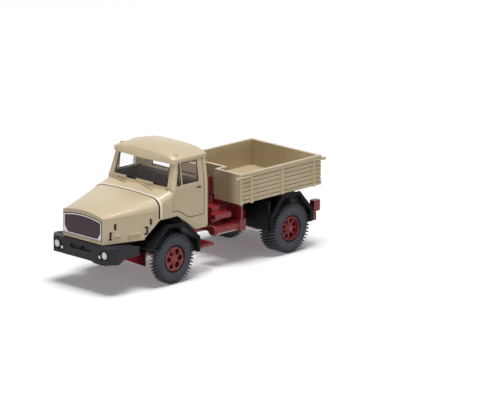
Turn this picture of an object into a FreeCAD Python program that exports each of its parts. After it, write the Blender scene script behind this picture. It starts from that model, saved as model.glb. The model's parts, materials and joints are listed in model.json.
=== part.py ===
import FreeCAD, Part
import math
import os

# Model of a short-bonnet two-axle tipper truck, 1:87, in millimetres.
# The truck drives towards -Y, its left side is +X, and it stands on z = 0.
# The origin is on the ground under the middle of the whole model.

# Driving sizes: wheels and axles
wheelbase = 44.8
front_overhang = 21.6
track_outer_half = 14.4
tyre_radius = 7.0
tyre_width = 2.8
lug_count = 42
lug_depth = 0.55
round_sides = 18
twin_spacing = 3.1
rim_radius = 3.9
rim_wall = 0.4
hub_radius = 1.2
pin_radius = 0.5
running_gap = 0.05
press_gap = 0.01
wheel_side_gap = 0.3
front_disc_holes = 6
hand_hole_radius = 0.75
rear_disc_holes = 8

# Driving sizes: chassis frame
frame_clearance = 3.6
rail_width = 1.0
rail_bottom = 9.5
rail_height = 2.8
rail_web = 0.5
crossmember_length = 1.2
leaf_thickness = 0.3
leaf_count = 3
leaf_half_length = 5.6
leaf_rise = 0.4
hanger_reach = 12.0
hanger_drop = 2.6
hanger_width = 2.1
axle_tube_radius = 0.95
axle_bulge_radius = 2.7

# Driving sizes: bumper
bumper_half = 12.5
bumper_flat_half = 10.8
bumper_corner_depth = 2.0
bumper_wing_length = 10.0
bumper_bottom = 8.7
bumper_height = 4.6
bumper_wall = 0.9
wing_lift = 1.2
big_lamp_radius = 1.15
small_lamp_radius = 0.5
big_lamp_x = 9.35
small_lamp_x = 7.4
big_lamp_z = 11.1
small_lamp_z = 10.4
lamp_pocket = 0.6
tow_slot_half = 4.0
tow_pin_radius = 0.45

# Driving sizes: bonnet and cab
hood_setback = 0.8
hood_length = 16.6
hood_front_half = 7.8
hood_bottom = 13.5
hood_front_side_top = 20.8
hood_front_top = 22.0
hood_nose_top = 22.55
nose_length = 2.4
hood_shoulder_drop = 2.8
cab_half = 12.9
panel_wall = 0.8
cowl_length = 4.95
screen_rake = 1.9
screen_bow = 0.35
pillar_corner = 0.9
belt_z = 26.1
window_height = 6.6
bonnet_drop = 1.4
screen_side_margin = 2.4
vent_bar = 0.45
tumblehome = 0.8
roof_overhang = 0.2
brow_set_back = 0.5
roof_edge_rise = 1.1
roof_dome = 2.5
shoulder_flat_count = 5
roof_flat_count = 8
grille_frame_width = 0.35
grille_side_margin = 0.3
grille_recess = 0.5
cab_depth = 13.05
cab_bottom = 13.4
arch_z = 18.4
glass_inset = 0.15
glass_thickness = 0.5
glass_gap = 0.03
groove_width = 0.22
groove_depth = 0.18

# Driving sizes: tipping bed
bed_length = 31.85
bed_half = 13.8
bed_bottom = 17.3
bed_side_height = 8.5
bed_wall = 0.9
bed_floor_thickness = 1.2
bed_rear_overhang = 12.4
recess_half = 3.6
recess_depth = 3.3
plank_pitch = 1.33
plank_inset = 0.3
plank_gap = 0.2
top_rail_height = 1.0
ladder_gap = 0.45
ladder_depth = 0.3
stake_width = 0.8
rod_radius = 0.3
rod_reach = 1.2
bed_rest_gap = 0.15
pivot_ahead_of_tail = 2.8
pivot_z = 14.9
pivot_ear_radius = 1.3
pivot_lug_width = 1.1

# Driving sizes: angular mudguards
guard_plate = 0.6
guard_lip = 0.4
guard_bed_gap = 0.1
rear_guard_reach = 7.9
front_guard_width = 7.6
shield_inset = 0.5
splash_inset = 0.5
bulkhead_inset = 2.4
step_inset = 2.9

# Driving sizes: chassis fittings
tank_radius = 1.7
tank_length = 9.9
tank_block_length = 1.9
tank_inset = 5.4
step_width = 5.0
rear_lamp_width = 1.8
tank_z = 10.3
hoist_radius = 0.65
hoist_top = 22.6
hitch_bore_radius = 0.5
hitch_thickness = 1.4

# Stations worked out from the sizes above
frame_half = track_outer_half - tyre_width - twin_spacing - frame_clearance
rail_inner = frame_half - rail_width
rear_guard_top = bed_bottom - guard_bed_gap - guard_lip
tank_x = track_outer_half - tank_inset
guard_outer_x = track_outer_half + 0.05
front_guard_inner = track_outer_half - front_guard_width
rear_guard_inner = frame_half + 0.7
roof_half = cab_half - tumblehome
eaves_z = belt_z + window_height
roof_edge_z = eaves_z + roof_edge_rise
roof_crown_z = roof_edge_z + roof_dome
hood_rear_top = belt_z - bonnet_drop
hood_rear_side_top = hood_rear_top - hood_shoulder_drop
outside = bed_half + 6
total_length = front_overhang + wheelbase + bed_rear_overhang + rod_reach
front_axle_y = front_overhang - total_length / 2
rear_axle_y = front_axle_y + wheelbase
axle_z = tyre_radius
bumper_front_y = front_axle_y - front_overhang
bed_rear_y = rear_axle_y + bed_rear_overhang
bed_front_y = bed_rear_y - bed_length
bed_top = bed_bottom + bed_side_height
bed_floor_top = bed_bottom + bed_floor_thickness
rail_top = rail_bottom + rail_height
hood_front_y = bumper_front_y + hood_setback
joint_y = hood_front_y + hood_length
screen_base_y = joint_y + cowl_length
cab_rear_y = screen_base_y + cab_depth
frame_front_y = bumper_front_y + bumper_wall
pivot_y = bed_rear_y - pivot_ahead_of_tail
frame_rear_y = pivot_y + 0.4
subframe_top = pivot_z + pivot_ear_radius
tyre_outer_x = track_outer_half - tyre_width / 2
tyre_inner_x = tyre_outer_x - twin_spacing
hoist_y = bed_front_y + recess_depth - hoist_radius - 0.6


def vec(x, y, z):
    return FreeCAD.Vector(x, y, z)


def box(x0, x1, y0, y1, z0, z1):
    return Part.makeBox(x1 - x0, y1 - y0, z1 - z0, vec(x0, y0, z0))


def prism_x(outline, x0, x1):
    """Outline in (y, z), drawn out from x0 to x1."""
    wire = Part.makePolygon([vec(x0, y, z) for y, z in outline + outline[:1]])
    return Part.Face(wire).extrude(vec(x1 - x0, 0, 0))


def prism_y(outline, y0, y1):
    """Outline in (x, z), drawn out from y0 to y1."""
    wire = Part.makePolygon([vec(x, y0, z) for x, z in outline + outline[:1]])
    return Part.Face(wire).extrude(vec(0, y1 - y0, 0))


def prism_z(outline, z0, z1):
    """Outline in (x, y), drawn out from z0 to z1."""
    wire = Part.makePolygon([vec(x, y, z0) for x, y in outline + outline[:1]])
    return Part.Face(wire).extrude(vec(0, 0, z1 - z0))


def rod_x(x0, x1, y, z, radius):
    return Part.makeCylinder(radius, x1 - x0, vec(x0, y, z), vec(1, 0, 0))


def rod_y(y0, y1, x, z, radius):
    return Part.makeCylinder(radius, y1 - y0, vec(x, y0, z), vec(0, 1, 0))


def rod_z(z0, z1, x, y, radius):
    return Part.makeCylinder(radius, z1 - z0, vec(x, y, z0), vec(0, 0, 1))


def closed_wire(points):
    return Part.makePolygon(points + points[:1])


def flat_solid(rings):
    """Solid closed by flat faces, each given by its corner points."""
    solid = Part.makeSolid(Part.makeShell([Part.Face(closed_wire(ring)) for ring in rings]))
    if solid.Volume < 0:
        solid.reverse()
    return solid.removeSplitter()


def flat_turned(outline, origin, axis, up, sides):
    """Turned solid with flat sides, from a closed outline in (distance along the axis, radius)."""
    across = axis.cross(up)

    def corner(index, distance, radius):
        angle = 2 * math.pi * index / sides
        return origin + axis * distance + (up * math.cos(angle) + across * math.sin(angle)) * radius

    rings = []
    for (d0, r0), (d1, r1) in zip(outline, outline[1:] + outline[:1]):
        for index in range(sides):
            ring = [corner(index, d0, r0), corner(index, d1, r1)]
            if r1 > 0:
                ring.append(corner(index + 1, d1, r1))
            if r0 > 0:
                ring.append(corner(index + 1, d0, r0))
            if len(ring) > 2:
                rings.append(ring)
    return flat_solid(rings)


def flat_loft(sections):
    """Solid through like sections of points; a skewed side is split along its shorter diagonal."""
    rings = [sections[0], sections[-1]]
    for near, far in zip(sections, sections[1:]):
        for index, a in enumerate(near):
            after = (index + 1) % len(near)
            b, c, d = near[after], far[after], far[index]
            if abs((b - a).cross(d - a).dot(c - a)) < 1e-6:
                rings.append([a, b, c, d])
            elif (c - a).Length < (d - b).Length:
                rings.extend([[a, b, c], [a, c, d]])
            else:
                rings.extend([[a, b, d], [b, c, d]])
    return flat_solid(rings)


def wheel_turned(outline, x_centre, axle_y, sides):
    return flat_turned(outline, vec(x_centre, axle_y, axle_z), vec(1, 0, 0), vec(0, 0, -1), sides)


def join(shapes):
    return shapes[0].multiFuse(shapes[1:]).removeSplitter()


def mirrored(shape):
    return shape.mirror(vec(0, 0, 0), vec(1, 0, 0))


def pair(shape):
    return [shape, mirrored(shape)]


def save(name, shapes):
    """Write one sub-part; several solids that do not touch share one file."""
    solids = []
    for shape in shapes:
        solids.extend(shape.Solids)
    whole = solids[0] if len(solids) == 1 else Part.makeCompound(solids)
    whole.exportStep(os.path.join("parts", name + ".step"))
    print(name, len(solids), round(whole.Volume, 2), whole.isValid())


# Wheels

def lug_ring_outline(x, axle_y):
    """Cog outline through the lug tips and the grooves between them."""
    points = []
    root = tyre_radius - lug_depth
    pitch = 2 * math.pi / lug_count
    for index in range(lug_count):
        middle = index * pitch
        for radius, share in ((root, -0.5), (tyre_radius, -0.24), (tyre_radius, 0.24)):
            angle = middle + share * pitch
            points.append(vec(x, axle_y + radius * math.sin(angle), axle_z - radius * math.cos(angle)))
    return Part.makePolygon(points + points[:1])


def tyre(x_centre, axle_y):
    """Carcass with rounded sidewalls and a band of cross lugs."""
    half = tyre_width / 2
    bore = rim_radius + press_gap
    root = tyre_radius - lug_depth
    outline = [
        (-half + 0.3, bore), (-half, bore + 0.8), (-half, root - 0.8), (-half + 0.35, root - 0.05),
        (half - 0.35, root - 0.05), (half, root - 0.8), (half, bore + 0.8), (half - 0.3, bore),
    ]
    carcass = wheel_turned(outline, x_centre, axle_y, round_sides)
    tread_half = half - 0.3
    tread = Part.Face(lug_ring_outline(x_centre - tread_half, axle_y)).extrude(vec(2 * tread_half, 0, 0))
    middle = [(-half, 0), (-half, root - 0.9), (half, root - 0.9), (half, 0)]
    return join([carcass, tread.cut(wheel_turned(middle, x_centre, axle_y, round_sides))])


def disc_holes(x0, x1, axle_y, count, circle_radius, hole_radius):
    holes = []
    for index in range(count):
        angle = 2 * math.pi * index / count
        centre = vec(x0, axle_y + circle_radius * math.cos(angle), axle_z + circle_radius * math.sin(angle))
        outline = [(0, 0), (0, hole_radius), (x1 - x0, hole_radius), (x1 - x0, 0)]
        holes.append(flat_turned(outline, centre, vec(1, 0, 0), vec(0, 0, 1), 6))
    return holes


def front_rim():
    """Shallow dished disc with a raised hub and a ring of hand holes."""
    inside = rim_radius - rim_wall
    back = -tyre_width / 2 + 0.2
    lip = tyre_width / 2 - 0.35
    outline = [
        (back - 0.3, 0), (back - 0.3, hub_radius), (0.2, hub_radius), (0, inside),
        (back, inside), (back, rim_radius), (lip, rim_radius), (lip, inside), (lip - 0.7, inside),
        (lip - 0.2, hub_radius + 0.2), (lip + 0.2, hub_radius - 0.1), (lip + 0.2, 0),
    ]
    rim = wheel_turned(outline, tyre_outer_x, front_axle_y, round_sides)
    hole_circle = (inside + hub_radius) / 2
    holes = disc_holes(tyre_outer_x - 0.5, tyre_outer_x + 2, front_axle_y,
                       front_disc_holes, hole_circle, hand_hole_radius)
    return rim.cut(holes).cut(axle_pin(front_axle_y, press_gap))


def rear_rim():
    """Deep dished twin rim: its disc sits well inboard, with a long hub."""
    inside = rim_radius - rim_wall
    back = -twin_spacing - tyre_width / 2 + 0.2
    lip = tyre_width / 2 - 0.2
    dish = -0.5
    outline = [
        (back, 0), (back, hub_radius + 0.1), (dish - 0.8, hub_radius + 0.1), (dish - 0.8, inside),
        (back, inside), (back, rim_radius), (lip, rim_radius), (lip, inside), (dish, inside - 0.2),
        (dish, hub_radius + 0.5), (dish + 1.1, hub_radius + 0.3), (dish + 1.1, hub_radius - 0.3),
        (dish + 1.5, hub_radius - 0.4), (dish + 1.5, 0),
    ]
    rim = wheel_turned(outline, tyre_outer_x, rear_axle_y, round_sides)
    hole_circle = (inside + hub_radius + 0.5) / 2
    holes = disc_holes(tyre_outer_x - 2, tyre_outer_x, rear_axle_y, rear_disc_holes, hole_circle, 0.35)
    return rim.cut(holes).cut(axle_pin(rear_axle_y, press_gap))


def axle_pin(axle_y, grown):
    """Steel pin pressed into blind holes in both hubs."""
    end = tyre_outer_x + 0.3
    return rod_x(-end - grown, end + grown, axle_y, axle_z, pin_radius + grown)


def make_wheels():
    rims = {"front": front_rim(), "rear": rear_rim()}
    stations = {"front": front_axle_y, "rear": rear_axle_y}
    for axle, rim in rims.items():
        save(axle + "_axle_pin", [axle_pin(stations[axle], 0)])
        save("rim_" + axle + "_left", [rim])
        save("rim_" + axle + "_right", [mirrored(rim)])
    rows = {
        "tyre_front": (tyre_outer_x, front_axle_y),
        "tyre_rear_outer": (tyre_outer_x, rear_axle_y),
        "tyre_rear_inner": (tyre_inner_x, rear_axle_y),
    }
    for name, (x_centre, axle_y) in rows.items():
        ring = tyre(x_centre, axle_y)
        save(name + "_left", [ring])
        save(name + "_right", [mirrored(ring)])


# Chassis frame, axles and springs

def crossmember(y, z0, z1):
    """Cross tie whose ends reach into both channels, up to the webs."""
    web = frame_half - rail_web
    return box(-web, web, y - crossmember_length / 2, y + crossmember_length / 2, z0, z1)


def frame_rails():
    rail = box(rail_inner, frame_half, frame_front_y, frame_rear_y, rail_bottom, rail_top)
    flange = 0.5
    channel = box(rail_inner, frame_half - rail_web, frame_front_y + 1, frame_rear_y - 1,
                  rail_bottom + flange, rail_top - flange)
    parts = pair(rail.cut(channel))
    stations = [
        frame_front_y + 1.6, front_axle_y + 7.5, cab_rear_y + 1.0,
        hoist_y, rear_axle_y - 6.0, rear_axle_y + 4.2, frame_rear_y - 0.6,
    ]
    for y in stations:
        parts.append(crossmember(y, rail_bottom + 0.3, rail_top - 0.3))
    return join(parts + pair(front_hanger()))


def front_hanger():
    """Deep bracket under the front end of a rail, ahead of the axle."""
    front = front_axle_y - hanger_reach
    rear = front_axle_y - hanger_reach / 3
    low = axle_z - hanger_drop
    outline = [(front, rail_bottom + 0.6), (front, axle_z + 0.7), (rear - 0.6, low), (rear, low),
               (rear, rail_bottom + 0.6)]
    return prism_x(outline, frame_half, frame_half + hanger_width)


def axle_housing(axle_y, half_length, flange_radius):
    """Tube with a central gear bulge, end flanges and pads for the springs."""
    taper = rail_inner - 0.5
    outline = [
        (-half_length, 0), (-half_length, flange_radius), (-half_length + 0.6, flange_radius),
        (-half_length + 0.8, axle_tube_radius), (-taper, axle_tube_radius + 0.15),
        (-taper * 0.6, axle_bulge_radius), (taper * 0.6, axle_bulge_radius), (taper, axle_tube_radius + 0.15),
        (half_length - 0.8, axle_tube_radius), (half_length - 0.6, flange_radius),
        (half_length, flange_radius), (half_length, 0),
    ]
    housing = wheel_turned(outline, 0, axle_y, 10)
    spring_x = frame_half - rail_width / 2
    pad = box(spring_x - 0.5, spring_x + 0.5, axle_y - 1.0, axle_y + 1.0, axle_z, spring_seat_z())
    housing = join([housing] + pair(pad))
    return housing.cut(rod_x(-half_length - 1, half_length + 1, axle_y, axle_z, pin_radius + running_gap))


def spring_seat_z():
    return axle_z + axle_tube_radius + 0.2


def springs(axle_y):
    """Leaf packs between the axle pads and the frame rails, with their hangers."""
    radius = (leaf_half_length ** 2 + leaf_rise ** 2) / (2 * leaf_rise)
    x0 = rail_inner
    x1 = frame_half
    pack_top = spring_seat_z() + leaf_count * leaf_thickness
    leaves = []
    for index in range(leaf_count):
        outer = radius + (index + 1) * leaf_thickness
        inner = radius + index * leaf_thickness
        centre_z = pack_top + radius
        ring = rod_x(x0, x1, axle_y, centre_z, outer).cut(rod_x(x0 - 1, x1 + 1, axle_y, centre_z, inner))
        reach = leaf_half_length - index * 1.5
        leaves.append(ring.common(box(x0, x1, axle_y - reach, axle_y + reach, 0, rail_bottom)))
    for side in (-1, 1):
        y = axle_y + side * (leaf_half_length - 0.3)
        leaves.append(box(x0, x1, y - 0.5, y + 0.5, pack_top + 0.3, rail_bottom))
    clamp = box(x0, x1, axle_y - 0.7, axle_y + 0.7, spring_seat_z(), rail_bottom)
    return pair(join(leaves + [clamp]))


def driveline():
    """Gearbox and shaft, hung from the crossmembers, down to the rear axle."""
    gear_y0 = front_axle_y + 9.6
    gear_y1 = gear_y0 + 7.0
    gearbox = box(-1.8, 1.8, gear_y0, gear_y1, rail_bottom - 2.2, rail_bottom + 0.3)
    shaft_end = rear_axle_y - axle_bulge_radius - 0.15
    start = vec(0, gear_y1 - 0.5, rail_bottom - 1.0)
    end = vec(0, shaft_end, axle_z + 0.4)
    run = end - start
    shaft = Part.makeCylinder(0.6, run.Length, start, run)
    return join([gearbox, shaft])


def make_frame():
    save("frame_rails", [frame_rails()])
    front_half = tyre_outer_x - tyre_width / 2 - 0.1 - wheel_side_gap
    rear_half = tyre_inner_x - tyre_width / 2 + 0.2 - wheel_side_gap
    save("front_axle_housing", [axle_housing(front_axle_y, front_half, 1.5)])
    save("rear_axle_housing", [axle_housing(rear_axle_y, rear_half, 1.3)])
    save("front_springs", springs(front_axle_y))
    save("rear_springs", springs(rear_axle_y))
    save("driveline", [driveline()])


# Bumper and lamps

def bumper_outline(inset):
    corner_y = bumper_front_y + bumper_corner_depth
    return [
        (-bumper_half + inset, bumper_front_y + bumper_wing_length),
        (-bumper_half + inset, corner_y + inset * 0.5),
        (-bumper_flat_half + inset * 0.5, bumper_front_y + inset),
        (bumper_flat_half - inset * 0.5, bumper_front_y + inset),
        (bumper_half - inset, corner_y + inset * 0.5),
        (bumper_half - inset, bumper_front_y + bumper_wing_length),
    ]


def bumper():
    """Front beam with swept-back wings and a flat top, open below and behind."""
    top = bumper_bottom + bumper_height
    tail = bumper_front_y + bumper_wing_length
    shell = prism_z(bumper_outline(0), bumper_bottom, top)
    hollow = prism_z(bumper_outline(bumper_wall), bumper_bottom - 1, top - 0.7)
    slope = prism_x([(bumper_front_y + 2, top), (tail + 1, top - 0.9), (tail + 1, top + 1)],
                    -outside, outside)
    lift = prism_x([(bumper_front_y + 2.4, bumper_bottom), (bumper_front_y + 4.6, bumper_bottom + wing_lift),
                    (tail + 1, bumper_bottom + wing_lift), (tail + 1, bumper_bottom - 1),
                    (bumper_front_y + 2.4, bumper_bottom - 1)], -outside, outside)
    behind_hood = box(-hood_front_half, hood_front_half, bumper_front_y + 2.6, tail + 1,
                      bumper_bottom, top + 1)
    shell = shell.cut([hollow, slope, lift, behind_hood])
    pocket_y = bumper_front_y + lamp_pocket
    slot = box(-tow_slot_half, tow_slot_half, bumper_front_y - 1, pocket_y,
               tow_pin_z() - 0.6, tow_pin_z() + 0.6)
    tow_bore = rod_y(bumper_front_y - 1, frame_front_y + 1, 0, tow_pin_z(), tow_pin_radius + press_gap)
    pockets = [lamp_body(x, z, radius + press_gap, bumper_front_y - 1, pocket_y)
               for x, z, radius in lamp_places()]
    return shell.cut([slot, tow_bore] + pockets)


def tow_pin_z():
    return bumper_bottom + bumper_height / 2 + 0.6


def lamp_places():
    places = []
    for side in (-1, 1):
        places.append((side * big_lamp_x, big_lamp_z, big_lamp_radius))
        places.append((side * small_lamp_x, small_lamp_z, small_lamp_radius))
    return places


def lamp_body(x, z, radius, y0, y1):
    outline = [(0, 0), (0, radius), (y1 - y0, radius), (y1 - y0, 0)]
    return flat_turned(outline, vec(x, y0, z), vec(0, 1, 0), vec(0, 0, 1), 16)


def lamp(x, z, radius):
    """Round lens with a low dome, seated in its pocket in the bumper."""
    outline = [(-0.12, 0), (-0.08, radius * 0.55), (0.1, radius), (lamp_pocket, radius), (lamp_pocket, 0)]
    return flat_turned(outline, vec(x, bumper_front_y, z), vec(0, 1, 0), vec(0, 0, 1), 16)


def make_bumper():
    save("bumper", [bumper()])
    save("headlamps", [lamp(x, z, radius) for x, z, radius in lamp_places()])
    save("tow_pin_front", [rod_y(bumper_front_y + 0.1, frame_front_y, 0, tow_pin_z(), tow_pin_radius)])


# Bonnet

def quarter(flats):
    """Steps of a quarter turn as (sine, one minus cosine) pairs, without its ends."""
    steps = [math.pi / 2 * index / flats for index in range(1, flats)]
    return [(math.sin(angle), 1 - math.cos(angle)) for angle in steps]


def bow(half, rise, flats):
    """Points across a shallow parabola from -half to half, at its rise above the ends."""
    stations = [-1 + 2 * index / flats for index in range(flats + 1)]
    return [(half * t, rise * (1 - t * t)) for t in stations]


def shell_section(y, half, low, side_top, shoulder, top, rise, roundness, flats):
    """Cross-section in X and Z: upright sides, shoulders from chamfered to round, and a bowed top."""
    inner = half - shoulder
    rim = top - rise
    right = []
    for index, (climb, run) in enumerate(quarter(flats)):
        share = (index + 1) / flats
        across = roundness * run + (1 - roundness) * share
        up = roundness * climb + (1 - roundness) * share
        right.append((half - shoulder * across, side_top + (rim - side_top) * up))
    crown = [(x, rim + z) for x, z in bow(inner, rise, 4)]
    left = [(-x, z) for x, z in right]
    outline = [(-half, low), (-half, side_top)] + left + crown + right[::-1] + [(half, side_top), (half, low)]
    return [vec(x, y, z) for x, z in outline]


def joint_section(y, inset, low, flats):
    """Section where the bonnet meets the cowl."""
    return shell_section(y, cab_half - inset, low, hood_rear_side_top - 0.4 * inset,
                         3.6, hood_rear_top - inset, 0.35, 1.0, flats)


def hood_body(inset, flats):
    """Bonnet volume: a short chamfered nose, then wider and higher towards the cab."""
    low = hood_bottom if inset == 0 else hood_bottom - 2
    nose_share = nose_length / hood_length
    nose_half = hood_front_half + (cab_half - hood_front_half) * nose_share
    nose_side_top = hood_front_side_top + (hood_rear_side_top - hood_front_side_top) * nose_share
    return flat_loft([
        shell_section(hood_front_y + inset, hood_front_half - 0.7 * inset, low,
                      hood_front_side_top - 0.4 * inset, 0.7, hood_front_top - inset, 0.85, 0.6, flats),
        shell_section(hood_front_y + nose_length + inset, nose_half - 0.8 * inset, low,
                      nose_side_top - 0.4 * inset, 5.4, hood_nose_top - inset, 0.15, 0.4, flats),
        joint_section(joint_y, inset, low, flats),
    ])


def hood():
    shell = hood_body(0, shoulder_flat_count).cut(hood_body(panel_wall, 2))
    low = hood_bottom - 1
    arch_cut = prism_x([(joint_y - 4.4, low), (joint_y - 4.4, hood_bottom + 0.4), (joint_y, arch_z),
                        (joint_y + 1, arch_z), (joint_y + 1, low)], -outside, outside)
    pocket = prism_y(frame_outline(), hood_front_y - 1, hood_front_y + grille_recess)
    return shell.cut([arch_cut, pocket])


def frame_outline():
    """Outer outline of the grille frame in (x, z): square below, arched on top."""
    half = hood_front_half - grille_side_margin
    low = hood_bottom + 0.95
    side_top = hood_front_side_top - 0.8
    arch = [(x, side_top + z) for x, z in bow(half, 0.8, 6)]
    return [(-half, low)] + arch + [(half, low)]


def grille_outline():
    """Dark panel inside the frame, with its lower corners cut off."""
    width = grille_frame_width
    half = hood_front_half - grille_side_margin - width
    low = hood_bottom + 0.95 + width
    side_top = hood_front_side_top - 0.8 - width
    arch = [(x, side_top + z) for x, z in bow(half, 0.8, 6)]
    return [(-half + 1.1, low), (-half, low + 1.6)] + arch + [(half, low + 1.6), (half - 1.1, low)]


def make_hood():
    save("hood", [hood()])
    back = hood_front_y + grille_recess
    save("grille", [prism_y(grille_outline(), hood_front_y + 0.15, back)])
    ring = prism_y(frame_outline(), hood_front_y - 0.1, back).cut(
        prism_y(grille_outline(), hood_front_y - 1, back + 1))
    save("grille_frame", [ring])


# Cab

def plan_section(z, half, y_front, y_rear, corner, bulge, flats):
    """Plan outline at one height: bowed front, rounded front corners, small chamfers behind."""
    rear = min(corner, 0.3)
    corner_points = [(half - corner * run, y_front + corner * (1 - climb)) for climb, run in quarter(flats)]
    front = [(x, y_front - y) for x, y in bow(half - corner, bulge, 4)]
    right = corner_points[::-1] + [(half, y_front + corner), (half, y_rear - rear), (half - rear, y_rear)]
    left = [(-x, y) for x, y in right[::-1]]
    return [vec(x, y, z) for x, y in front + right + left]


def greenhouse(inset, flats):
    """Window band between the belt and the eaves, with its raked front."""
    low = plan_section(belt_z, cab_half - inset, screen_base_y + inset, cab_rear_y - inset,
                       pillar_corner, screen_bow, flats)
    high = plan_section(eaves_z, roof_half - inset, screen_base_y + screen_rake + inset,
                        cab_rear_y - inset, pillar_corner, screen_bow, flats)
    return flat_loft([low, high])


def roof_section(y, edge_z, top_z, inset, flats):
    """Section across the roof: upright edges and a crown that is flat in the middle."""
    half = roof_half + roof_overhang - inset
    stations = [-1 + 2 * index / flats for index in range(flats + 1)]
    curve = [math.sin(math.pi / 2 * t) for t in stations]
    crown = [(half * t, edge_z + (top_z - edge_z) * (1 - abs(t) ** 4)) for t in curve]
    return [vec(x, y, z) for x, z in [(-half, eaves_z)] + crown + [(half, eaves_z)]]


def roof(inset, flats):
    """Domed roof with a rounded brow that overhangs the screen."""
    brow_y = screen_base_y + brow_set_back + inset
    length = cab_rear_y - inset - brow_y
    edge = roof_edge_z - inset * 0.7
    crown = roof_crown_z - inset
    sections = []
    profile = ((0, 2.0, 0.4), (0.06, 1.2, 0.15), (0.2, 0.45, 0), (0.5, 0, 0), (1, 0.85, 0))
    for share, drop, edge_drop in profile:
        sections.append(roof_section(brow_y + share * length, edge - edge_drop, crown - drop, inset, flats))
    dome = flat_loft(sections)
    half = roof_half + roof_overhang - inset
    nose = [(x, brow_y + 0.5 - z) for x, z in bow(half - 1.4, 0.5, 6)]
    plan = [(-half, cab_rear_y), (-half, brow_y + 2.0), (-half + 0.4, brow_y + 1.0)] + nose
    plan += [(half - 0.4, brow_y + 1.0), (half, brow_y + 2.0), (half, cab_rear_y)]
    return dome.common(prism_z(plan, eaves_z, roof_crown_z + 1))


def cab_body(inset, flats):
    """Whole cab volume: lower body, cowl, window band and roof."""
    bottom = cab_bottom - 2 * inset
    lower = flat_loft([plan_section(z, cab_half - inset, screen_base_y + inset, cab_rear_y - inset, 0.4, 0, 2)
                       for z in (bottom, belt_z)])
    cowl_rear = screen_base_y + 1.5
    low = arch_z - 2 * inset
    cowl = flat_loft([
        joint_section(joint_y - inset, inset, low, flats),
        shell_section(cowl_rear, cab_half - inset, low, belt_z - 1.3 - 0.4 * inset,
                      2.4, belt_z + 0.1 - inset, 0.15, 1.0, flats),
    ])
    return join([lower, cowl, greenhouse(inset, flats), roof(inset, roof_flat_count if inset == 0 else 6)])


def arch_notch():
    """Space over the front wheel that the cab side leaves open."""
    front = joint_y - 1
    return prism_x([(front, cab_bottom - 4), (front, arch_z), (front_axle_y + 2.4, arch_z),
                    (front_axle_y + 8.9, cab_bottom + 0.3), (front_axle_y + 9.2, cab_bottom),
                    (front_axle_y + 9.2, cab_bottom - 4)], -outside, outside)


def screen_outline(shrink):
    half = cab_half - screen_side_margin - shrink
    return [
        (-half, belt_z + 0.15 + shrink), (half, belt_z + 0.15 + shrink),
        (half - 0.5, eaves_z - 0.15 - shrink), (-half + 0.5, eaves_z - 0.15 - shrink),
    ]


def door_window_outline(shrink):
    """Main pane of the door, behind the upright bar."""
    front = screen_base_y + 3.6
    return [
        (front + shrink, belt_z + 0.6 + shrink), (cab_rear_y - 3.4 - shrink, belt_z + 0.6 + shrink),
        (cab_rear_y - 3.4 - shrink, eaves_z - 0.1 - shrink), (front + shrink, eaves_z - 0.1 - shrink),
    ]


def vent_window_outline(shrink):
    """Narrow pane between the pillar and the bar."""
    rear = screen_base_y + 3.6 - vent_bar
    return [
        (screen_base_y + 1.25 + shrink, belt_z + 0.4 + shrink), (rear - shrink, belt_z + 0.6 + shrink),
        (rear - shrink, eaves_z - 0.1 - shrink), (rear - 0.5 + shrink, eaves_z - 0.1 - shrink),
    ]


def rear_window_outline(shrink):
    half = cab_half - 1.8 * screen_side_margin - shrink
    return [
        (-half, belt_z + 0.9 + shrink), (half, belt_z + 0.9 + shrink),
        (half, eaves_z - 0.9 - shrink), (-half, eaves_z - 0.9 - shrink),
    ]


def window_cutters(shrink):
    """Prisms through the front, both sides and the back of the window band."""
    middle_y = (screen_base_y + cab_rear_y) / 2
    side = [prism_x(outline(shrink), roof_half / 2, outside)
            for outline in (door_window_outline, vent_window_outline)]
    return {
        "windscreen": [prism_y(screen_outline(shrink), screen_base_y - 3, middle_y - 1)],
        "side_window_left": side,
        "side_window_right": [mirrored(shape) for shape in side],
        "rear_window": [prism_y(rear_window_outline(shrink), middle_y + 1, cab_rear_y + 3)],
    }


def side_skin():
    """Space outside the left cab side, from just under its surface."""
    depth = groove_depth
    return prism_y([(cab_half - depth, cab_bottom - 1), (cab_half - depth, belt_z),
                    (roof_half - depth, eaves_z), (roof_half - depth, roof_crown_z),
                    (outside, roof_crown_z), (outside, cab_bottom - 1)], joint_y, cab_rear_y)


def door_grooves():
    """Shut lines of the left door, cut into the cab's side."""
    front = screen_base_y - 0.2
    rear = cab_rear_y - 1.3
    low = cab_bottom + 3.7
    high = eaves_z + 0.2
    outer = [
        (front, belt_z - 0.9), (front, arch_z + 1.3), (front + 1.9, arch_z + 1.3),
        (front + 6.2, low), (rear, low), (rear, high), (front + 2.6, high),
    ]
    w = groove_width
    inner = [
        (front + w, belt_z - 0.9), (front + w, arch_z + 1.3 + w), (front + 1.9 + w * 0.5, arch_z + 1.3 + w),
        (front + 6.2 + w * 0.3, low + w), (rear - w, low + w), (rear - w, high - w),
        (front + 2.6 + w, high - w),
    ]
    ring = prism_x(outer, roof_half / 2, outside).cut(prism_x(inner, 0, outside + 1))
    return ring.common(side_skin())


def cab_shell():
    shell = cab_body(0, shoulder_flat_count).cut(cab_body(panel_wall, 2)).cut(arch_notch())
    for cutters in window_cutters(0).values():
        shell = shell.cut(cutters)
    return shell.cut(pair(door_grooves()))


def glazing():
    """Panes that follow the window band, set back in their openings."""
    layer = greenhouse(glass_inset, shoulder_flat_count).cut(
        greenhouse(glass_inset + glass_thickness, shoulder_flat_count))
    panes = {}
    for name, cutters in window_cutters(glass_gap).items():
        panes[name] = [layer.common(cutter) for cutter in cutters]
    return panes


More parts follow.
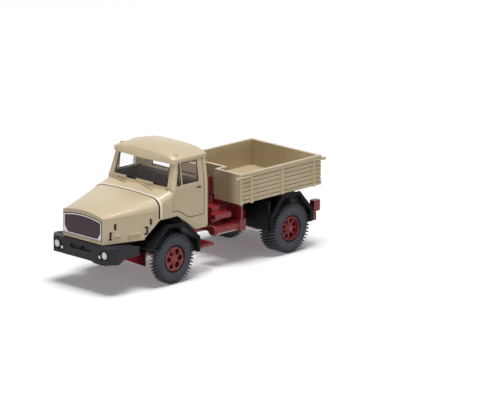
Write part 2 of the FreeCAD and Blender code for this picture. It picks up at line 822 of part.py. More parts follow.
def interior():
    """Floor pan, dashboard and a bench seat across the cab."""
    gap = 0.1
    x = cab_half - panel_wall - gap
    y0 = screen_base_y + 1.2
    y1 = cab_rear_y - panel_wall - gap
    floor_z = arch_z + 0.3
    floor = box(-x, x, joint_y + 1.0, y1, floor_z, floor_z + 0.6)
    dash = prism_x([(screen_base_y + 0.2, floor_z), (y0 + 2.2, floor_z), (y0 + 1.8, belt_z - 1.8),
                    (y0 + 0.6, belt_z - 0.5), (screen_base_y + 0.2, belt_z - 0.5)], -x, x)
    bench_half = 0.94 * x
    cushion = box(-bench_half, bench_half, y1 - 5.6, y1 - 0.6, floor_z, floor_z + 3.4)
    back = prism_x([(y1 - 3.4, floor_z + 3), (y1, floor_z + 3), (y1, belt_z + 0.2),
                    (y1 - 2.4, belt_z + 0.2)], -bench_half, bench_half)
    rear_panel = box(-x, x, y1 - 0.5, y1, floor_z, belt_z - 0.5)
    return join([floor, dash, rear_panel, cushion, back]).common(cab_body(panel_wall + gap, 2))


def steering_wheel():
    """Rim, cross spoke and column, leaning back from the dashboard."""
    centre = vec(0.48 * cab_half, screen_base_y + 4.6, belt_z - 0.2)
    column = vec(0, -0.84, -0.54)
    sideways = vec(1, 0, 0)
    rim = flat_turned([(-0.2, 1.5), (-0.2, 1.9), (0.2, 1.9), (0.2, 1.5)], centre, column, sideways, 20)
    spoke = box(centre.x - 1.7, centre.x + 1.7, centre.y - 0.2, centre.y + 0.2,
                centre.z - 0.2, centre.z + 0.2)
    shaft = flat_turned([(-0.2, 0), (-0.2, 0.3), (2.0, 0.3), (2.0, 0)], centre, column, sideways, 8)
    return join([rim, spoke, shaft])


def make_cab():
    save("cab_shell", [cab_shell()])
    for name, panes in glazing().items():
        save(name, panes)
    save("interior", [interior()])
    save("steering_wheel", [steering_wheel()])


# Mudguards

def guard_band(outline, x0, x1, lip_x):
    """Angular arch of flat plates with a raised lip along its outer edge."""
    def offset(distance):
        moved = []
        for index, (y, z) in enumerate(outline):
            before = outline[max(index - 1, 0)]
            after = outline[min(index + 1, len(outline) - 1)]
            normals = []
            for start, end in ((before, (y, z)), ((y, z), after)):
                dy = end[0] - start[0]
                dz = end[1] - start[1]
                length = math.hypot(dy, dz)
                if length > 0:
                    normals.append((dz / length, -dy / length))
            ny = sum(n[0] for n in normals) / len(normals)
            nz = sum(n[1] for n in normals) / len(normals)
            scale = distance / (ny * ny + nz * nz)
            moved.append((y + ny * scale, z + nz * scale))
        return moved
    inner = offset(guard_plate)
    outer = offset(-guard_lip)
    plate = prism_x(outline + inner[::-1], x0, x1)
    lip = prism_x(outer + inner[::-1], lip_x, x1)
    return join([plate, lip])


def front_guard():
    """Angular arch with a splash wall up to the cab floor along its inner side."""
    outline = [
        (front_axle_y - 9.0, axle_z + 4.2), (front_axle_y - 2.6, axle_z + 9.7),
        (front_axle_y + 3.3, axle_z + 9.2), (front_axle_y + 9.1, axle_z + 4.5),
        (front_axle_y + 9.1, axle_z + 0.4),
    ]
    band = guard_band(outline, front_guard_inner, guard_outer_x, guard_outer_x - 0.6)
    top = arch_z - 0.2
    wall = prism_x([
        (front_axle_y - 7.0, axle_z + 5.6), (front_axle_y - 2.6, axle_z + 9.4),
        (front_axle_y + 3.3, axle_z + 8.9), (front_axle_y + 8.8, axle_z + 4.5),
        (front_axle_y + 8.8, top), (front_axle_y - 7.0, top),
    ], front_guard_inner + splash_inset, front_guard_inner + splash_inset + guard_plate)
    return join([band, wall])


def rear_guard():
    foot = rear_guard_reach
    outline = [
        (rear_axle_y - foot, axle_z + 0.7), (rear_axle_y - foot, axle_z + 4.4),
        (rear_axle_y - 3.2, rear_guard_top), (rear_axle_y + 3.2, rear_guard_top),
        (rear_axle_y + foot, axle_z + 4.4), (rear_axle_y + foot, axle_z + 0.7),
    ]
    return guard_band(outline, rear_guard_inner, guard_outer_x, guard_outer_x - 0.6)


def front_guard_arm():
    """Bracket from the frame rail out to the inner edge of the front mudguard."""
    y = front_axle_y + 9.1
    return box(frame_half, front_guard_inner + 0.5, y, y + 0.8, rail_bottom + 0.4, rail_bottom + 1.6)


def make_guards():
    front = join([front_guard(), front_guard_arm()])
    save("fender_front_left", [front])
    save("fender_front_right", [mirrored(front)])
    rear = rear_guard()
    save("mudguard_rear_left", [rear])
    save("mudguard_rear_right", [mirrored(rear)])


# Fittings on the frame

def side_tank():
    """Lying tank with end bands and two arms to the frame rail."""
    y0 = bed_front_y - 6.5
    band = 0.6
    low = tank_radius - 0.15
    high = tank_radius
    end = tank_length
    outline = [
        (0, 0), (0, low - 0.3), (0.3, low), (band, low), (band, high), (2 * band, high), (2 * band, low),
        (end - 2 * band, low), (end - 2 * band, high), (end - band, high), (end - band, low),
        (end - 0.3, low), (end, low - 0.3), (end, 0),
    ]
    body = flat_turned(outline, vec(tank_x, y0, tank_z), vec(0, 1, 0), vec(0, 0, 1), 12)
    arms = [box(frame_half, tank_x, y, y + band, tank_z - 0.5, tank_z + 0.5)
            for y in (y0 + band, y0 + end - 2 * band)]
    block = box(frame_half + 1.5, tank_x + tank_radius, y0 + end - 0.5, y0 + end + tank_block_length,
                tank_z - tank_radius + 0.2, tank_z + tank_radius + 0.1)
    return join([body, block] + arms)


def side_box():
    free = bed_front_y - cab_rear_y
    y0 = bed_front_y - 0.53 * free
    z0 = rail_top + 1.1
    upper = box(tank_x - 1.2, tank_x + 1.2, y0, y0 + 0.54 * free, z0, z0 + 1.5)
    saddle = box(rail_inner, tank_x - 1.0, y0 + 0.08 * free, y0 + 0.33 * free, rail_top, z0 + 3.0)
    return join([upper, saddle])


def cab_step():
    y0 = front_axle_y + 11.8
    y1 = y0 + 5.8
    x1 = track_outer_half - step_inset
    x0 = x1 - step_width
    border = 0.8
    plate = box(x0, x1, y0, y1, axle_z + 0.1, axle_z + 0.8)
    for index in range(3):
        y = y0 + 0.9 + index * 1.5
        plate = plate.cut(box(x0 + border, x1 - border, y, y + 0.9, axle_z - 1, axle_z + 2))
    hanger = box(frame_half, x0 + border, y0 + 2.0, y0 + 3.4, axle_z + 0.1, rail_bottom + 1.5)
    return join([plate, hanger])


def tipper_subframe():
    """Black carrier on the frame: bearers, cross ties, front shields and pivot ears."""
    start = bed_front_y + recess_depth + 1.8
    x0 = rail_inner
    bearer = box(x0, frame_half, start, pivot_y, rail_top, subframe_top)
    ear = flat_turned([(0, 0), (0, pivot_ear_radius), (rail_width, pivot_ear_radius), (rail_width, 0)],
                      vec(x0, pivot_y, pivot_z), vec(1, 0, 0), vec(0, 0, 1), 12)
    foot = box(x0, frame_half, pivot_y - 1, pivot_y + 0.4, rail_top, pivot_z)
    shield_y = rear_axle_y - rear_guard_reach
    shield_x = track_outer_half - shield_inset
    shield = box(frame_half, shield_x, shield_y - 0.7, shield_y, axle_z + 0.8, subframe_top)
    shelf = box(frame_half - 0.2, rear_guard_inner, rear_axle_y - 2.6, rear_axle_y + 2.6,
                rail_top + 0.6, subframe_top)
    riser = box(frame_half + bed_rest_gap, rear_guard_inner, rear_axle_y - 2.6, rear_axle_y + 2.6,
                subframe_top - 0.5, rear_guard_top)
    side = join([bearer, ear, foot, shield, shelf, riser])
    ties = [box(-x0, x0, y - 0.6, y + 0.6, rail_top, rail_top + 1.6)
            for y in (start + 0.8, rear_axle_y - 6, rear_axle_y + 3.5)]
    carrier = join(pair(side) + ties)
    bore = rod_x(-frame_half - 1, frame_half + 1, pivot_y, pivot_z, pin_radius + running_gap)
    return carrier.cut([bore] + pair(rear_guard()))


def hoist_mount():
    """Red cross plate on the frame that carries the hoist post, with its side wings."""
    plate = box(-frame_half, frame_half, hoist_y - 1.0, hoist_y + 1.0, rail_top, rail_top + 2.4)
    wing_y = hoist_y + 1.0
    wings = pair(box(frame_half, track_outer_half - bulkhead_inset, wing_y, wing_y + 0.8,
                     tank_z + tank_radius + 0.1, rail_top + 3.8))
    bridge = box(-frame_half, frame_half, wing_y, wing_y + 0.8, rail_top, rail_top + 3.8)
    return join([plate, bridge] + wings)


def rear_lamps():
    """Lamp boxes on stems, carried by a beam across the frame's end."""
    x1 = bed_half - 0.5
    x0 = x1 - rear_lamp_width
    beam = box(-x0 - 0.8, x0 + 0.8, frame_rear_y, frame_rear_y + 0.9, rail_bottom + 0.6, rail_bottom + 2.0)
    head = box(x0, x1, frame_rear_y, frame_rear_y + 2.4, rail_bottom + 0.4, rail_bottom + 3.5)
    stem = box(x0 + 0.2, x1 - 0.4, frame_rear_y + 0.1, frame_rear_y + 1.3, axle_z + 0.2, rail_bottom + 0.6)
    return join([beam] + pair(join([head, stem])))


def tow_hitch():
    y0 = frame_rear_y + 0.9
    z0 = rail_bottom + 0.6
    jaw = box(-1.1, 1.1, y0, y0 + 2.2, z0, z0 + hitch_thickness)
    return jaw.cut(rod_z(z0 - 1, z0 + hitch_thickness + 1, 0, y0 + 1.1, hitch_bore_radius))


def make_fittings():
    save("side_tank_left", [side_tank()])
    save("side_tank_right", [mirrored(side_tank())])
    save("side_boxes", pair(side_box()))
    save("cab_steps", pair(cab_step()))
    save("tipper_subframe", [tipper_subframe()])
    save("hoist_mount", [hoist_mount()])
    save("hoist_post", [rod_z(rail_top + 2.4, hoist_top, 0, hoist_y, hoist_radius)])
    save("rear_lamp_brackets", [rear_lamps()])
    save("tow_hitch", [tow_hitch()])


# Tipping bed

def bed_side():
    """Planked side wall with top rail, stakes, corner ladders and the rods at its corners."""
    x0 = bed_half - bed_wall
    face = bed_half - plank_inset
    wall = box(x0, face, bed_front_y, bed_rear_y, bed_bottom, bed_top)
    rail = box(x0, bed_half, bed_front_y, bed_rear_y, bed_top - top_rail_height, bed_top)
    stations = stake_stations()
    parts = [wall, rail] + [box(x0, bed_half, y, y + stake_width, bed_bottom, bed_top) for y in stations]
    panel = join(parts)
    bays = list(zip([y + stake_width for y in stations], stations[1:] + [bed_rear_y + 1]))
    cutters = []
    z = bed_top - top_rail_height - plank_pitch
    while z > bed_bottom + 0.3:
        for index, (y0, y1) in enumerate(bays):
            at_corner = index in (0, len(bays) - 1)
            depth = ladder_depth if at_corner else groove_depth
            height = ladder_gap if at_corner else plank_gap
            cutters.append(box(face - depth, bed_half + 1, y0, y1, z, z + height))
        z -= plank_pitch
    panel = panel.cut(cutters)
    rods = [
        bed_rod(bed_front_y - rod_reach + 0.2, bed_front_y + 3.7),
        bed_rod(bed_rear_y - 2.6, bed_rear_y + rod_reach),
    ]
    return join([panel] + rods)


def bed_rod(y0, y1):
    outline = [(0, 0), (0, rod_radius), (y1 - y0, rod_radius), (y1 - y0, 0)]
    start = vec(bed_half - rod_radius, y0, bed_top - 1.1)
    return flat_turned(outline, start, vec(0, 1, 0), vec(0, 0, 1), 8)


def stake_stations():
    return [bed_front_y, bed_front_y + 4.1, (bed_front_y + bed_rear_y) / 2 + 0.2, bed_rear_y - 3.3]


def bed_front_outline(thick):
    """Plan of the front wall, stepped back round the hoist recess."""
    inner_x = bed_half - bed_wall
    y0 = bed_front_y
    y1 = bed_front_y + thick
    back = bed_front_y + recess_depth
    return [
        (-inner_x, y0), (-recess_half, y0), (-recess_half, back), (recess_half, back), (recess_half, y0),
        (inner_x, y0), (inner_x, y1), (recess_half + thick, y1), (recess_half + thick, back + thick),
        (-recess_half - thick, back + thick), (-recess_half - thick, y1), (-inner_x, y1),
    ]


def bed_floor():
    inner_x = bed_half - bed_wall
    y0 = bed_front_y + bed_wall
    slab = box(-inner_x, inner_x, y0, bed_rear_y - bed_wall, bed_bottom, bed_floor_top)
    edge = recess_half + bed_wall
    notch = box(-edge, edge, y0 - 1, bed_front_y + recess_depth + bed_wall, bed_bottom - 1, bed_floor_top + 1)
    return slab.cut(notch)


def bed_subframe():
    """Bearers under the floor with the pivot lugs and their cross pin."""
    x0 = rail_inner
    start = bed_front_y + recess_depth + 1.8
    low = subframe_top + bed_rest_gap
    bearer = box(x0, frame_half, start, bed_rear_y - 0.9, low, bed_bottom)
    lug_x1 = x0 - 0.2
    lug_x0 = lug_x1 - pivot_lug_width
    lug = box(lug_x0, lug_x1, pivot_y - 0.9, pivot_y + 0.9, pivot_z, bed_bottom)
    eye = flat_turned([(0, 0), (0, 0.9), (pivot_lug_width, 0.9), (pivot_lug_width, 0)],
                      vec(lug_x0, pivot_y, pivot_z), vec(1, 0, 0), vec(0, 0, 1), 8)
    bridge = box(lug_x0, frame_half, pivot_y - 0.9, pivot_y + 0.9, low + 0.2, bed_bottom)
    side = join([bearer, lug, eye, bridge])
    ties = [box(-x0, x0, y - 0.6, y + 0.6, low + 0.2, bed_bottom)
            for y in (start + 0.8, rear_axle_y - 6, rear_axle_y + 3.5)]
    pin = rod_x(-frame_half, frame_half, pivot_y, pivot_z, pin_radius)
    return join(pair(side) + ties + [pin])


def make_bed():
    save("bed_floor", [bed_floor()])
    save("bed_front_wall", [prism_z(bed_front_outline(bed_wall), bed_bottom, bed_top)])
    side = bed_side()
    save("bed_side_left", [side])
    save("bed_side_right", [mirrored(side)])
    inner_x = bed_half - bed_wall
    save("tailgate", [box(-inner_x, inner_x, bed_rear_y - bed_wall, bed_rear_y, bed_bottom, bed_top)])
    save("bed_subframe", [bed_subframe()])


def main():
    os.makedirs("parts", exist_ok=True)
    make_wheels()
    make_frame()
    make_bumper()
    make_hood()
    make_cab()
    make_guards()
    make_fittings()
    make_bed()


main()
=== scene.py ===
import json
import math

import bmesh
import bpy
from mathutils import Matrix, Vector
from mathutils.bvhtree import BVHTree


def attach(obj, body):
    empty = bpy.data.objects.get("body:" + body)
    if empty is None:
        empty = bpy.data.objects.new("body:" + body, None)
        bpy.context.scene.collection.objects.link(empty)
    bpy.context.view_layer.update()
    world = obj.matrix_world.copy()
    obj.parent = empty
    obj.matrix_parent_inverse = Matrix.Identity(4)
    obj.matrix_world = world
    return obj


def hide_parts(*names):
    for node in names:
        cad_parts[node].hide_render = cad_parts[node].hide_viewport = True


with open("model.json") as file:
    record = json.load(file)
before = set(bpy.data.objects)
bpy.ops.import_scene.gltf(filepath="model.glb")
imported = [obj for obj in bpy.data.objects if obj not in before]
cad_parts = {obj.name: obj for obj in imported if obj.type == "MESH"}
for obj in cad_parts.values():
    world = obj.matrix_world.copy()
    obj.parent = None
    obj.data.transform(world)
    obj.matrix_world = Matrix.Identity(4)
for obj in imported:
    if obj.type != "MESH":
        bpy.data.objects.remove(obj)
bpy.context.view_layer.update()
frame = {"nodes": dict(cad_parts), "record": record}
nodes = frame["nodes"]
mm = 0.001
print("frame loaded:", len(nodes), "nodes")


# scene, camera and light

view = {"azimuth": 45.24, "elevation": 14.76, "distance": 1.31874, "lens": 361.85,
        "aim": (0.01522, 0.0054, 0.01932)}

scene = bpy.context.scene
scene.view_settings.view_transform = "Standard"


def aimAt(obj, target):
    obj.rotation_euler = (target - obj.location).to_track_quat("-Z", "Y").to_euler()


def addObject(name, data):
    obj = bpy.data.objects.new(name, data)
    scene.collection.objects.link(obj)
    return obj


def makeCamera():
    azimuth = math.radians(view["azimuth"])
    elevation = math.radians(view["elevation"])
    back = Vector((math.sin(azimuth) * math.cos(elevation), -math.cos(azimuth) * math.cos(elevation),
                   math.sin(elevation)))
    data = bpy.data.cameras.new("photoCamera")
    data.lens = view["lens"]
    data.sensor_width = 36
    data.clip_start = 0.05
    camera = addObject("photoCamera", data)
    target = Vector(view["aim"])
    camera.location = target + back * view["distance"]
    aimAt(camera, target)
    scene.camera = camera


lamps = {
    "key": {"place": (0.07, 0.03, 0.95), "size": 0.46, "power": 8.4},
    "side": {"place": (0.97, 0.02, 0.025), "size": 0.2, "power": 3.5},
    "front": {"place": (0.16, -0.93, 0.18), "size": 0.28, "power": 2.7},
}


def makeLamps():
    middle = Vector((0, 0, 0.018))
    for name, lamp in lamps.items():
        data = bpy.data.lights.new(name + "Lamp", "AREA")
        data.shape = "DISK"
        data.size = lamp["size"]
        data.energy = lamp["power"]
        obj = addObject(name + "Lamp", data)
        obj.location = lamp["place"]
        aimAt(obj, middle)


studio = {"ambient": 0.1, "white": (1, 1, 1, 1), "floorSize": 3, "paper": (0.88, 0.88, 0.88, 1),
          "bounce": (0.40, 0.39, 0.38, 1), "glow": (0.97, 0.95, 1.0, 1), "glowReach": (0.1, 0.9),
          "glowStrength": (0.15, 0.6)}


def addNode(tree, kind, values=None, operation=None):
    # a shader node with its socket values set
    node = tree.nodes.new(kind)
    if operation:
        node.operation = operation
    for socketName, value in (values or {}).items():
        node.inputs[socketName].default_value = value
    return node


def wire(tree, *links):
    # joins shader nodes, each link as (node, output, node, input)
    for source, output, target, socket in links:
        tree.links.new(source.outputs[output], target.inputs[socket])


def emptyMaterial(name):
    mat = bpy.data.materials.new(name)
    mat.use_nodes = True
    mat.node_tree.nodes.clear()
    return mat, mat.node_tree, addNode(mat.node_tree, "ShaderNodeOutputMaterial")


def makeWorld():
    # white to the camera and in reflections, a weak ambient for everything else
    world = bpy.data.worlds.new("studio")
    scene.world = world
    world.use_nodes = True
    tree = world.node_tree
    tree.nodes.clear()
    out = addNode(tree, "ShaderNodeOutputWorld")
    ambient = addNode(tree, "ShaderNodeBackground", {"Color": studio["white"], "Strength": studio["ambient"]})
    white = addNode(tree, "ShaderNodeBackground", {"Color": studio["white"], "Strength": 1.0})
    path = addNode(tree, "ShaderNodeLightPath")
    seen = addNode(tree, "ShaderNodeMath", operation="MAXIMUM")
    through = addNode(tree, "ShaderNodeMath", operation="MAXIMUM")
    blend = addNode(tree, "ShaderNodeMixShader")
    wire(tree, (path, "Is Camera Ray", seen, 0), (path, "Is Transmission Ray", seen, 1),
               (seen, 0, through, 0), (path, "Is Glossy Ray", through, 1), (through, 0, blend, "Fac"),
               (ambient, 0, blend, 1), (white, 0, blend, 2), (blend, 0, out, "Surface"))


def makeFloor():
    bm = bmesh.new()
    bmesh.ops.create_grid(bm, x_segments=1, y_segments=1, size=studio["floorSize"])
    mesh = bpy.data.meshes.new("floor")
    bm.to_mesh(mesh)
    bm.free()
    floor = addObject("floor", mesh)
    mat, tree, out = emptyMaterial("paperFloor")
    paper = addNode(tree, "ShaderNodeBsdfDiffuse", {"Color": studio["paper"]})
    bounce = addNode(tree, "ShaderNodeBsdfDiffuse", {"Color": studio["bounce"]})
    glow = addNode(tree, "ShaderNodeEmission", {"Color": studio["glow"]})
    # the paper is lit up a little further out, where the lamps fall off
    coords = addNode(tree, "ShaderNodeTexCoord")
    reach = addNode(tree, "ShaderNodeVectorMath", operation="LENGTH")
    near, far = studio["glowReach"]
    weak, strong = studio["glowStrength"]
    fill = addNode(tree, "ShaderNodeMapRange", {"From Min": near, "From Max": far, "To Min": weak,
                                                "To Max": strong})
    total = addNode(tree, "ShaderNodeAddShader")
    white = addNode(tree, "ShaderNodeEmission", {"Strength": 1.0})
    path = addNode(tree, "ShaderNodeLightPath")
    mirrored = addNode(tree, "ShaderNodeMath", operation="MAXIMUM")
    blend = addNode(tree, "ShaderNodeMixShader")
    onlySeen = addNode(tree, "ShaderNodeMixShader")
    wire(tree, (coords, "Object", reach, 0), (reach, "Value", fill, "Value"),
               (fill, "Result", glow, "Strength"), (path, "Is Glossy Ray", mirrored, 0),
               (path, "Is Transmission Ray", mirrored, 1), (path, "Is Camera Ray", onlySeen, "Fac"),
               (paper, 0, total, 0), (glow, 0, total, 1), (bounce, 0, onlySeen, 1),
               (total, 0, onlySeen, 2), (mirrored, 0, blend, "Fac"), (onlySeen, 0, blend, 1),
               (white, 0, blend, 2), (blend, 0, out, "Surface"))
    mesh.materials.append(mat)


makeCamera()
makeLamps()
makeWorld()
makeFloor()
print("camera, lamps and floor set")


# materials

texture = {"broad": {"Scale": 90, "Detail": 3}, "fine": {"Scale": 5200, "Detail": 2},
           "specks": {"Scale": 1100, "Detail": 4}, "scuffs": {"Scale": 1, "Detail": 3},
           "stretch": {"Rotation": (0.4, 0.3, 0.2), "Scale": (260, 260, 5200)},
           "scuffRange": {"From Min": 0.60, "From Max": 0.70, "To Max": 0.10},
           "driftRange": {"From Min": 0.35, "From Max": 0.65},
           "speckRange": {"From Min": 0.3, "From Max": 0.7, "To Min": -0.05, "To Max": 0.07}}


def makeMouldGroup():
    # moulded plastic: faint tone drift, fine spark texture, handling dust and scuffs
    group = bpy.data.node_groups.new("mouldedSurface", "ShaderNodeTree")
    for name, way, kind in (
            ("Colour", "INPUT", "NodeSocketColor"), ("Shade", "INPUT", "NodeSocketColor"),
            ("Drift", "INPUT", "NodeSocketFloat"), ("Gloss", "INPUT", "NodeSocketFloat"),
            ("Grain", "INPUT", "NodeSocketFloat"), ("Colour", "OUTPUT", "NodeSocketColor"),
            ("Roughness", "OUTPUT", "NodeSocketFloat"), ("Height", "OUTPUT", "NodeSocketFloat")):
        group.interface.new_socket(name, in_out=way, socket_type=kind)
    given = addNode(group, "NodeGroupInput")
    out = addNode(group, "NodeGroupOutput")
    coords = addNode(group, "ShaderNodeTexCoord")
    stretch = addNode(group, "ShaderNodeMapping", texture["stretch"])
    broad, fine, specks, scuffs = [addNode(group, "ShaderNodeTexNoise", texture[name])
                                   for name in ("broad", "fine", "specks", "scuffs")]
    scuffMask, drift, rough = [addNode(group, "ShaderNodeMapRange", texture[name])
                               for name in ("scuffRange", "driftRange", "speckRange")]
    share, total, worn, height = [addNode(group, "ShaderNodeMath", operation=kind)
                                  for kind in ("MULTIPLY", "ADD", "ADD", "MULTIPLY")]
    tone = addNode(group, "ShaderNodeMix")
    tone.data_type = "RGBA"
    wire(group, (coords, "Object", broad, "Vector"), (coords, "Object", fine, "Vector"),
                (coords, "Object", specks, "Vector"), (coords, "Object", stretch, "Vector"),
                (stretch, "Vector", scuffs, "Vector"), (scuffs, "Fac", scuffMask, "Value"),
                (broad, "Fac", drift, "Value"), (drift, "Result", share, 0), (given, "Drift", share, 1),
                (share, 0, tone, "Factor"), (given, "Colour", tone, "A"), (given, "Shade", tone, "B"),
                (tone, "Result", out, "Colour"), (specks, "Fac", rough, "Value"),
                (rough, "Result", total, 0), (given, "Gloss", total, 1), (total, 0, worn, 0),
                (scuffMask, "Result", worn, 1), (worn, 0, out, "Roughness"), (fine, "Fac", height, 0),
                (given, "Grain", height, 1), (height, 0, out, "Height"))
    return group


moulded = makeMouldGroup()

# what most finishes share, and then each finish with what differs
usual = {"drift": 0.5, "grain": 0.5, "bump": 0.03, "coat": 0, "metal": 0}
finishes = {
    "beigePlastic": {"colour": (0.575, 0.472, 0.31), "shade": (0.51, 0.405, 0.255), "gloss": 0.35,
                     "shine": 0.4, "coat": 0.18},
    # lighter than the beige: a painted highlight for the cowl lip's rounded edge
    "lipPaintedHighlight": {"colour": (0.8, 0.73, 0.6), "shade": (0.72, 0.64, 0.5), "drift": 0.4, "gloss": 0.22,
                   "grain": 0.4, "bump": 0.02, "shine": 0.5, "coat": 0.5},
    "redPlastic": {"colour": (0.265, 0.016, 0.021), "shade": (0.17, 0.009, 0.013), "drift": 0.6,
                   "gloss": 0.28, "shine": 0.35, "coat": 0.32},
    "greyPlastic": {"colour": (0.027, 0.025, 0.031), "shade": (0.018, 0.016, 0.021), "drift": 0.6,
                    "gloss": 0.45, "grain": 0.7, "bump": 0.05, "shine": 0.2},
    "blackPlastic": {"colour": (0.008, 0.008, 0.009), "shade": (0.005, 0.005, 0.005), "drift": 0.6,
                     "gloss": 0.42, "grain": 0.7, "bump": 0.05, "shine": 0.09},
    "softTyre": {"colour": (0.06, 0.064, 0.078), "shade": (0.038, 0.041, 0.051), "drift": 0.7,
                 "gloss": 0.58, "grain": 1.0, "bump": 0.08, "shine": 0.25},
    "brownPlastic": {"colour": (0.078, 0.049, 0.043), "shade": (0.052, 0.033, 0.029), "gloss": 0.5,
                     "bump": 0.05, "shine": 0.25},
    "grillePrint": {"colour": (0.1, 0.062, 0.076), "shade": (0.066, 0.042, 0.052), "drift": 0.6,
                    "gloss": 0.4, "bump": 0.04, "shine": 0.25},
    "silverPaint": {"colour": (0.78, 0.78, 0.8), "shade": (0.62, 0.62, 0.65), "gloss": 0.3, "grain": 0.4,
                    "shine": 0.5, "metal": 0.6},
    "lampSilver": {"colour": (0.97, 0.97, 0.97), "shade": (0.92, 0.92, 0.93), "drift": 0.4, "gloss": 0.16,
                   "grain": 0.2, "bump": 0.02, "shine": 0.5, "coat": 0.6},
    "lampRing": {"colour": (0.36, 0.37, 0.4), "shade": (0.26, 0.27, 0.3), "drift": 0.4, "gloss": 0.3,
                 "grain": 0.3, "shine": 0.4},
    # dark strips: painted shade in the louvre slots and the door shut lines
    "paintedShadeLine": {"colour": (0.06, 0.044, 0.028), "shade": (0.04, 0.03, 0.02), "gloss": 0.6, "shine": 0.1},
    "pinSteel": {"colour": (0.56, 0.56, 0.57), "shade": (0.42, 0.42, 0.44), "gloss": 0.3, "shine": 0.5,
                 "metal": 1.0},
}
coatRoughness = 0.19
bumpDepth = 0.1 * mm


def makeFinish(name, values):
    mat, tree, out = emptyMaterial(name)
    shader = addNode(tree, "ShaderNodeBsdfPrincipled", {
        "Specular IOR Level": values["shine"], "Coat Weight": values["coat"],
        "Coat Roughness": coatRoughness, "Metallic": values["metal"]})
    surface = tree.nodes.new("ShaderNodeGroup")
    surface.node_tree = moulded
    surface.inputs["Colour"].default_value = values["colour"] + (1,)
    surface.inputs["Shade"].default_value = values["shade"] + (1,)
    for socketName in ("Drift", "Gloss", "Grain"):
        surface.inputs[socketName].default_value = values[socketName.lower()]
    bump = addNode(tree, "ShaderNodeBump", {"Strength": values["bump"], "Distance": bumpDepth})
    wire(tree, (surface, "Colour", shader, "Base Color"), (surface, "Roughness", shader, "Roughness"),
               (surface, "Height", bump, "Height"), (bump, "Normal", shader, "Normal"),
               (shader, 0, out, "Surface"))
    return mat


finish = {name: makeFinish(name, usual | values) for name, values in finishes.items()}


def makeGlass():
    mat = bpy.data.materials.new("clearPane")
    mat.use_nodes = True
    shader = mat.node_tree.nodes["Principled BSDF"]
    shader.inputs["Base Color"].default_value = (0.985, 0.99, 0.985, 1)
    shader.inputs["Roughness"].default_value = 0.03
    shader.inputs["Transmission Weight"].default_value = 1.0
    shader.inputs["IOR"].default_value = 1.2
    return mat


finish["clearPane"] = makeGlass()

slotFinish = {
    "beige_body": "beigePlastic", "chassis_red": "redPlastic", "bumper_grey": "greyPlastic",
    "guard_black": "blackPlastic", "tyre_black": "softTyre", "interior_brown": "brownPlastic",
    "grille_dark": "grillePrint", "silver_trim": "silverPaint", "clear_glazing": "clearPane",
    "lamp_clear": "lampSilver", "pin_steel": "pinSteel",
}
print("materials made:", len(finish))


# helpers for the pieces

nodeSlot = {part["node"]: part["material_slot"] for part in frame["record"]["subparts"]}
nodeBody = {name: body for body, names in frame["record"]["behaviour"]["bodies"].items() for name in names}


def newPiece(name, shape, slotName, body="chassis", replaced=(), finishName=None, soft=None):
    # soft: width of the rounded edges in millimetres, steps and, where it isn't 30, the least angle
    mesh = meshFrom(shape, name) if isinstance(shape, bmesh.types.BMesh) else shape
    obj = addObject(name, mesh)
    mesh.materials.clear()
    mesh.materials.append(finish[finishName or slotFinish[slotName]])
    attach(obj, body)
    if replaced:
        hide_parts(*replaced)
    if soft:
        softenEdges(obj, *soft)
    return obj


def smoothShade(obj, angle):
    obj.data.shade_smooth()
    obj.data.set_sharp_from_angle(angle=math.radians(angle))


def softenEdges(obj, width, segments, angle=30):
    smoothShade(obj, angle)
    bevel = obj.modifiers.new("softEdges", "BEVEL")
    bevel.width = width * mm
    bevel.segments = segments
    bevel.limit_method = "ANGLE"
    bevel.angle_limit = math.radians(angle)
    bevel.harden_normals = True
    bevel.use_clamp_overlap = True


def mouldedCopy(nodeName, width):
    # a moulded piece: the node's own form with its edges rounded as a mould leaves them
    mesh = nodes[nodeName].data.copy()
    bm = bmesh.new()
    bm.from_mesh(mesh)
    bmesh.ops.remove_doubles(bm, verts=bm.verts, dist=0.002 * mm)
    bmesh.ops.dissolve_limit(bm, angle_limit=math.radians(0.6), verts=bm.verts, edges=bm.edges)
    bm.to_mesh(mesh)
    bm.free()
    return newPiece(nodeName + "_moulded", mesh, nodeSlot[nodeName], nodeBody[nodeName], (nodeName,),
                    soft=(width, 2))


def only(items, kind):
    return [item for item in items if isinstance(item, kind)]


def rotate(bm, verts, angle, axis):
    bmesh.ops.rotate(bm, verts=verts, cent=(0, 0, 0), matrix=Matrix.Rotation(angle, 3, axis))


def meshFrom(bm, name):
    bmesh.ops.recalc_face_normals(bm, faces=bm.faces)
    mesh = bpy.data.meshes.new(name)
    bm.to_mesh(mesh)
    bm.free()
    return mesh


def addPart(bm, part, matrix):
    # puts a finished part into a larger piece
    mesh = meshFrom(part, "part")
    mesh.transform(matrix)
    bm.from_mesh(mesh)
    bpy.data.meshes.remove(mesh)


def boxOf(nodeName):
    # low and high corner of a node in millimetres
    corners = [nodes[nodeName].matrix_world @ Vector(corner) for corner in nodes[nodeName].bound_box]
    return [Vector([pick(values) for values in zip(*corners)]) / mm for pick in (min, max)]


def middleOf(nodeName):
    low, high = boxOf(nodeName)
    return (low + high) / 2 * mm


def rod(bm, start, end, radius, steps=16):
    # a round bar between two points, in millimetres
    start = Vector(start) * mm
    end = Vector(end) * mm
    along = end - start
    matrix = Matrix.Translation((start + end) / 2) @ along.to_track_quat("Z", "Y").to_matrix().to_4x4()
    return bmesh.ops.create_cone(bm, cap_ends=True, segments=steps, radius1=radius * mm, radius2=radius * mm,
                                 depth=along.length, matrix=matrix)["verts"]


def closedLoop(bm, points):
    verts = [bm.verts.new(point) for point in points]
    return verts, [bm.edges.new(pair) for pair in zip(verts, verts[1:] + verts[:1])]


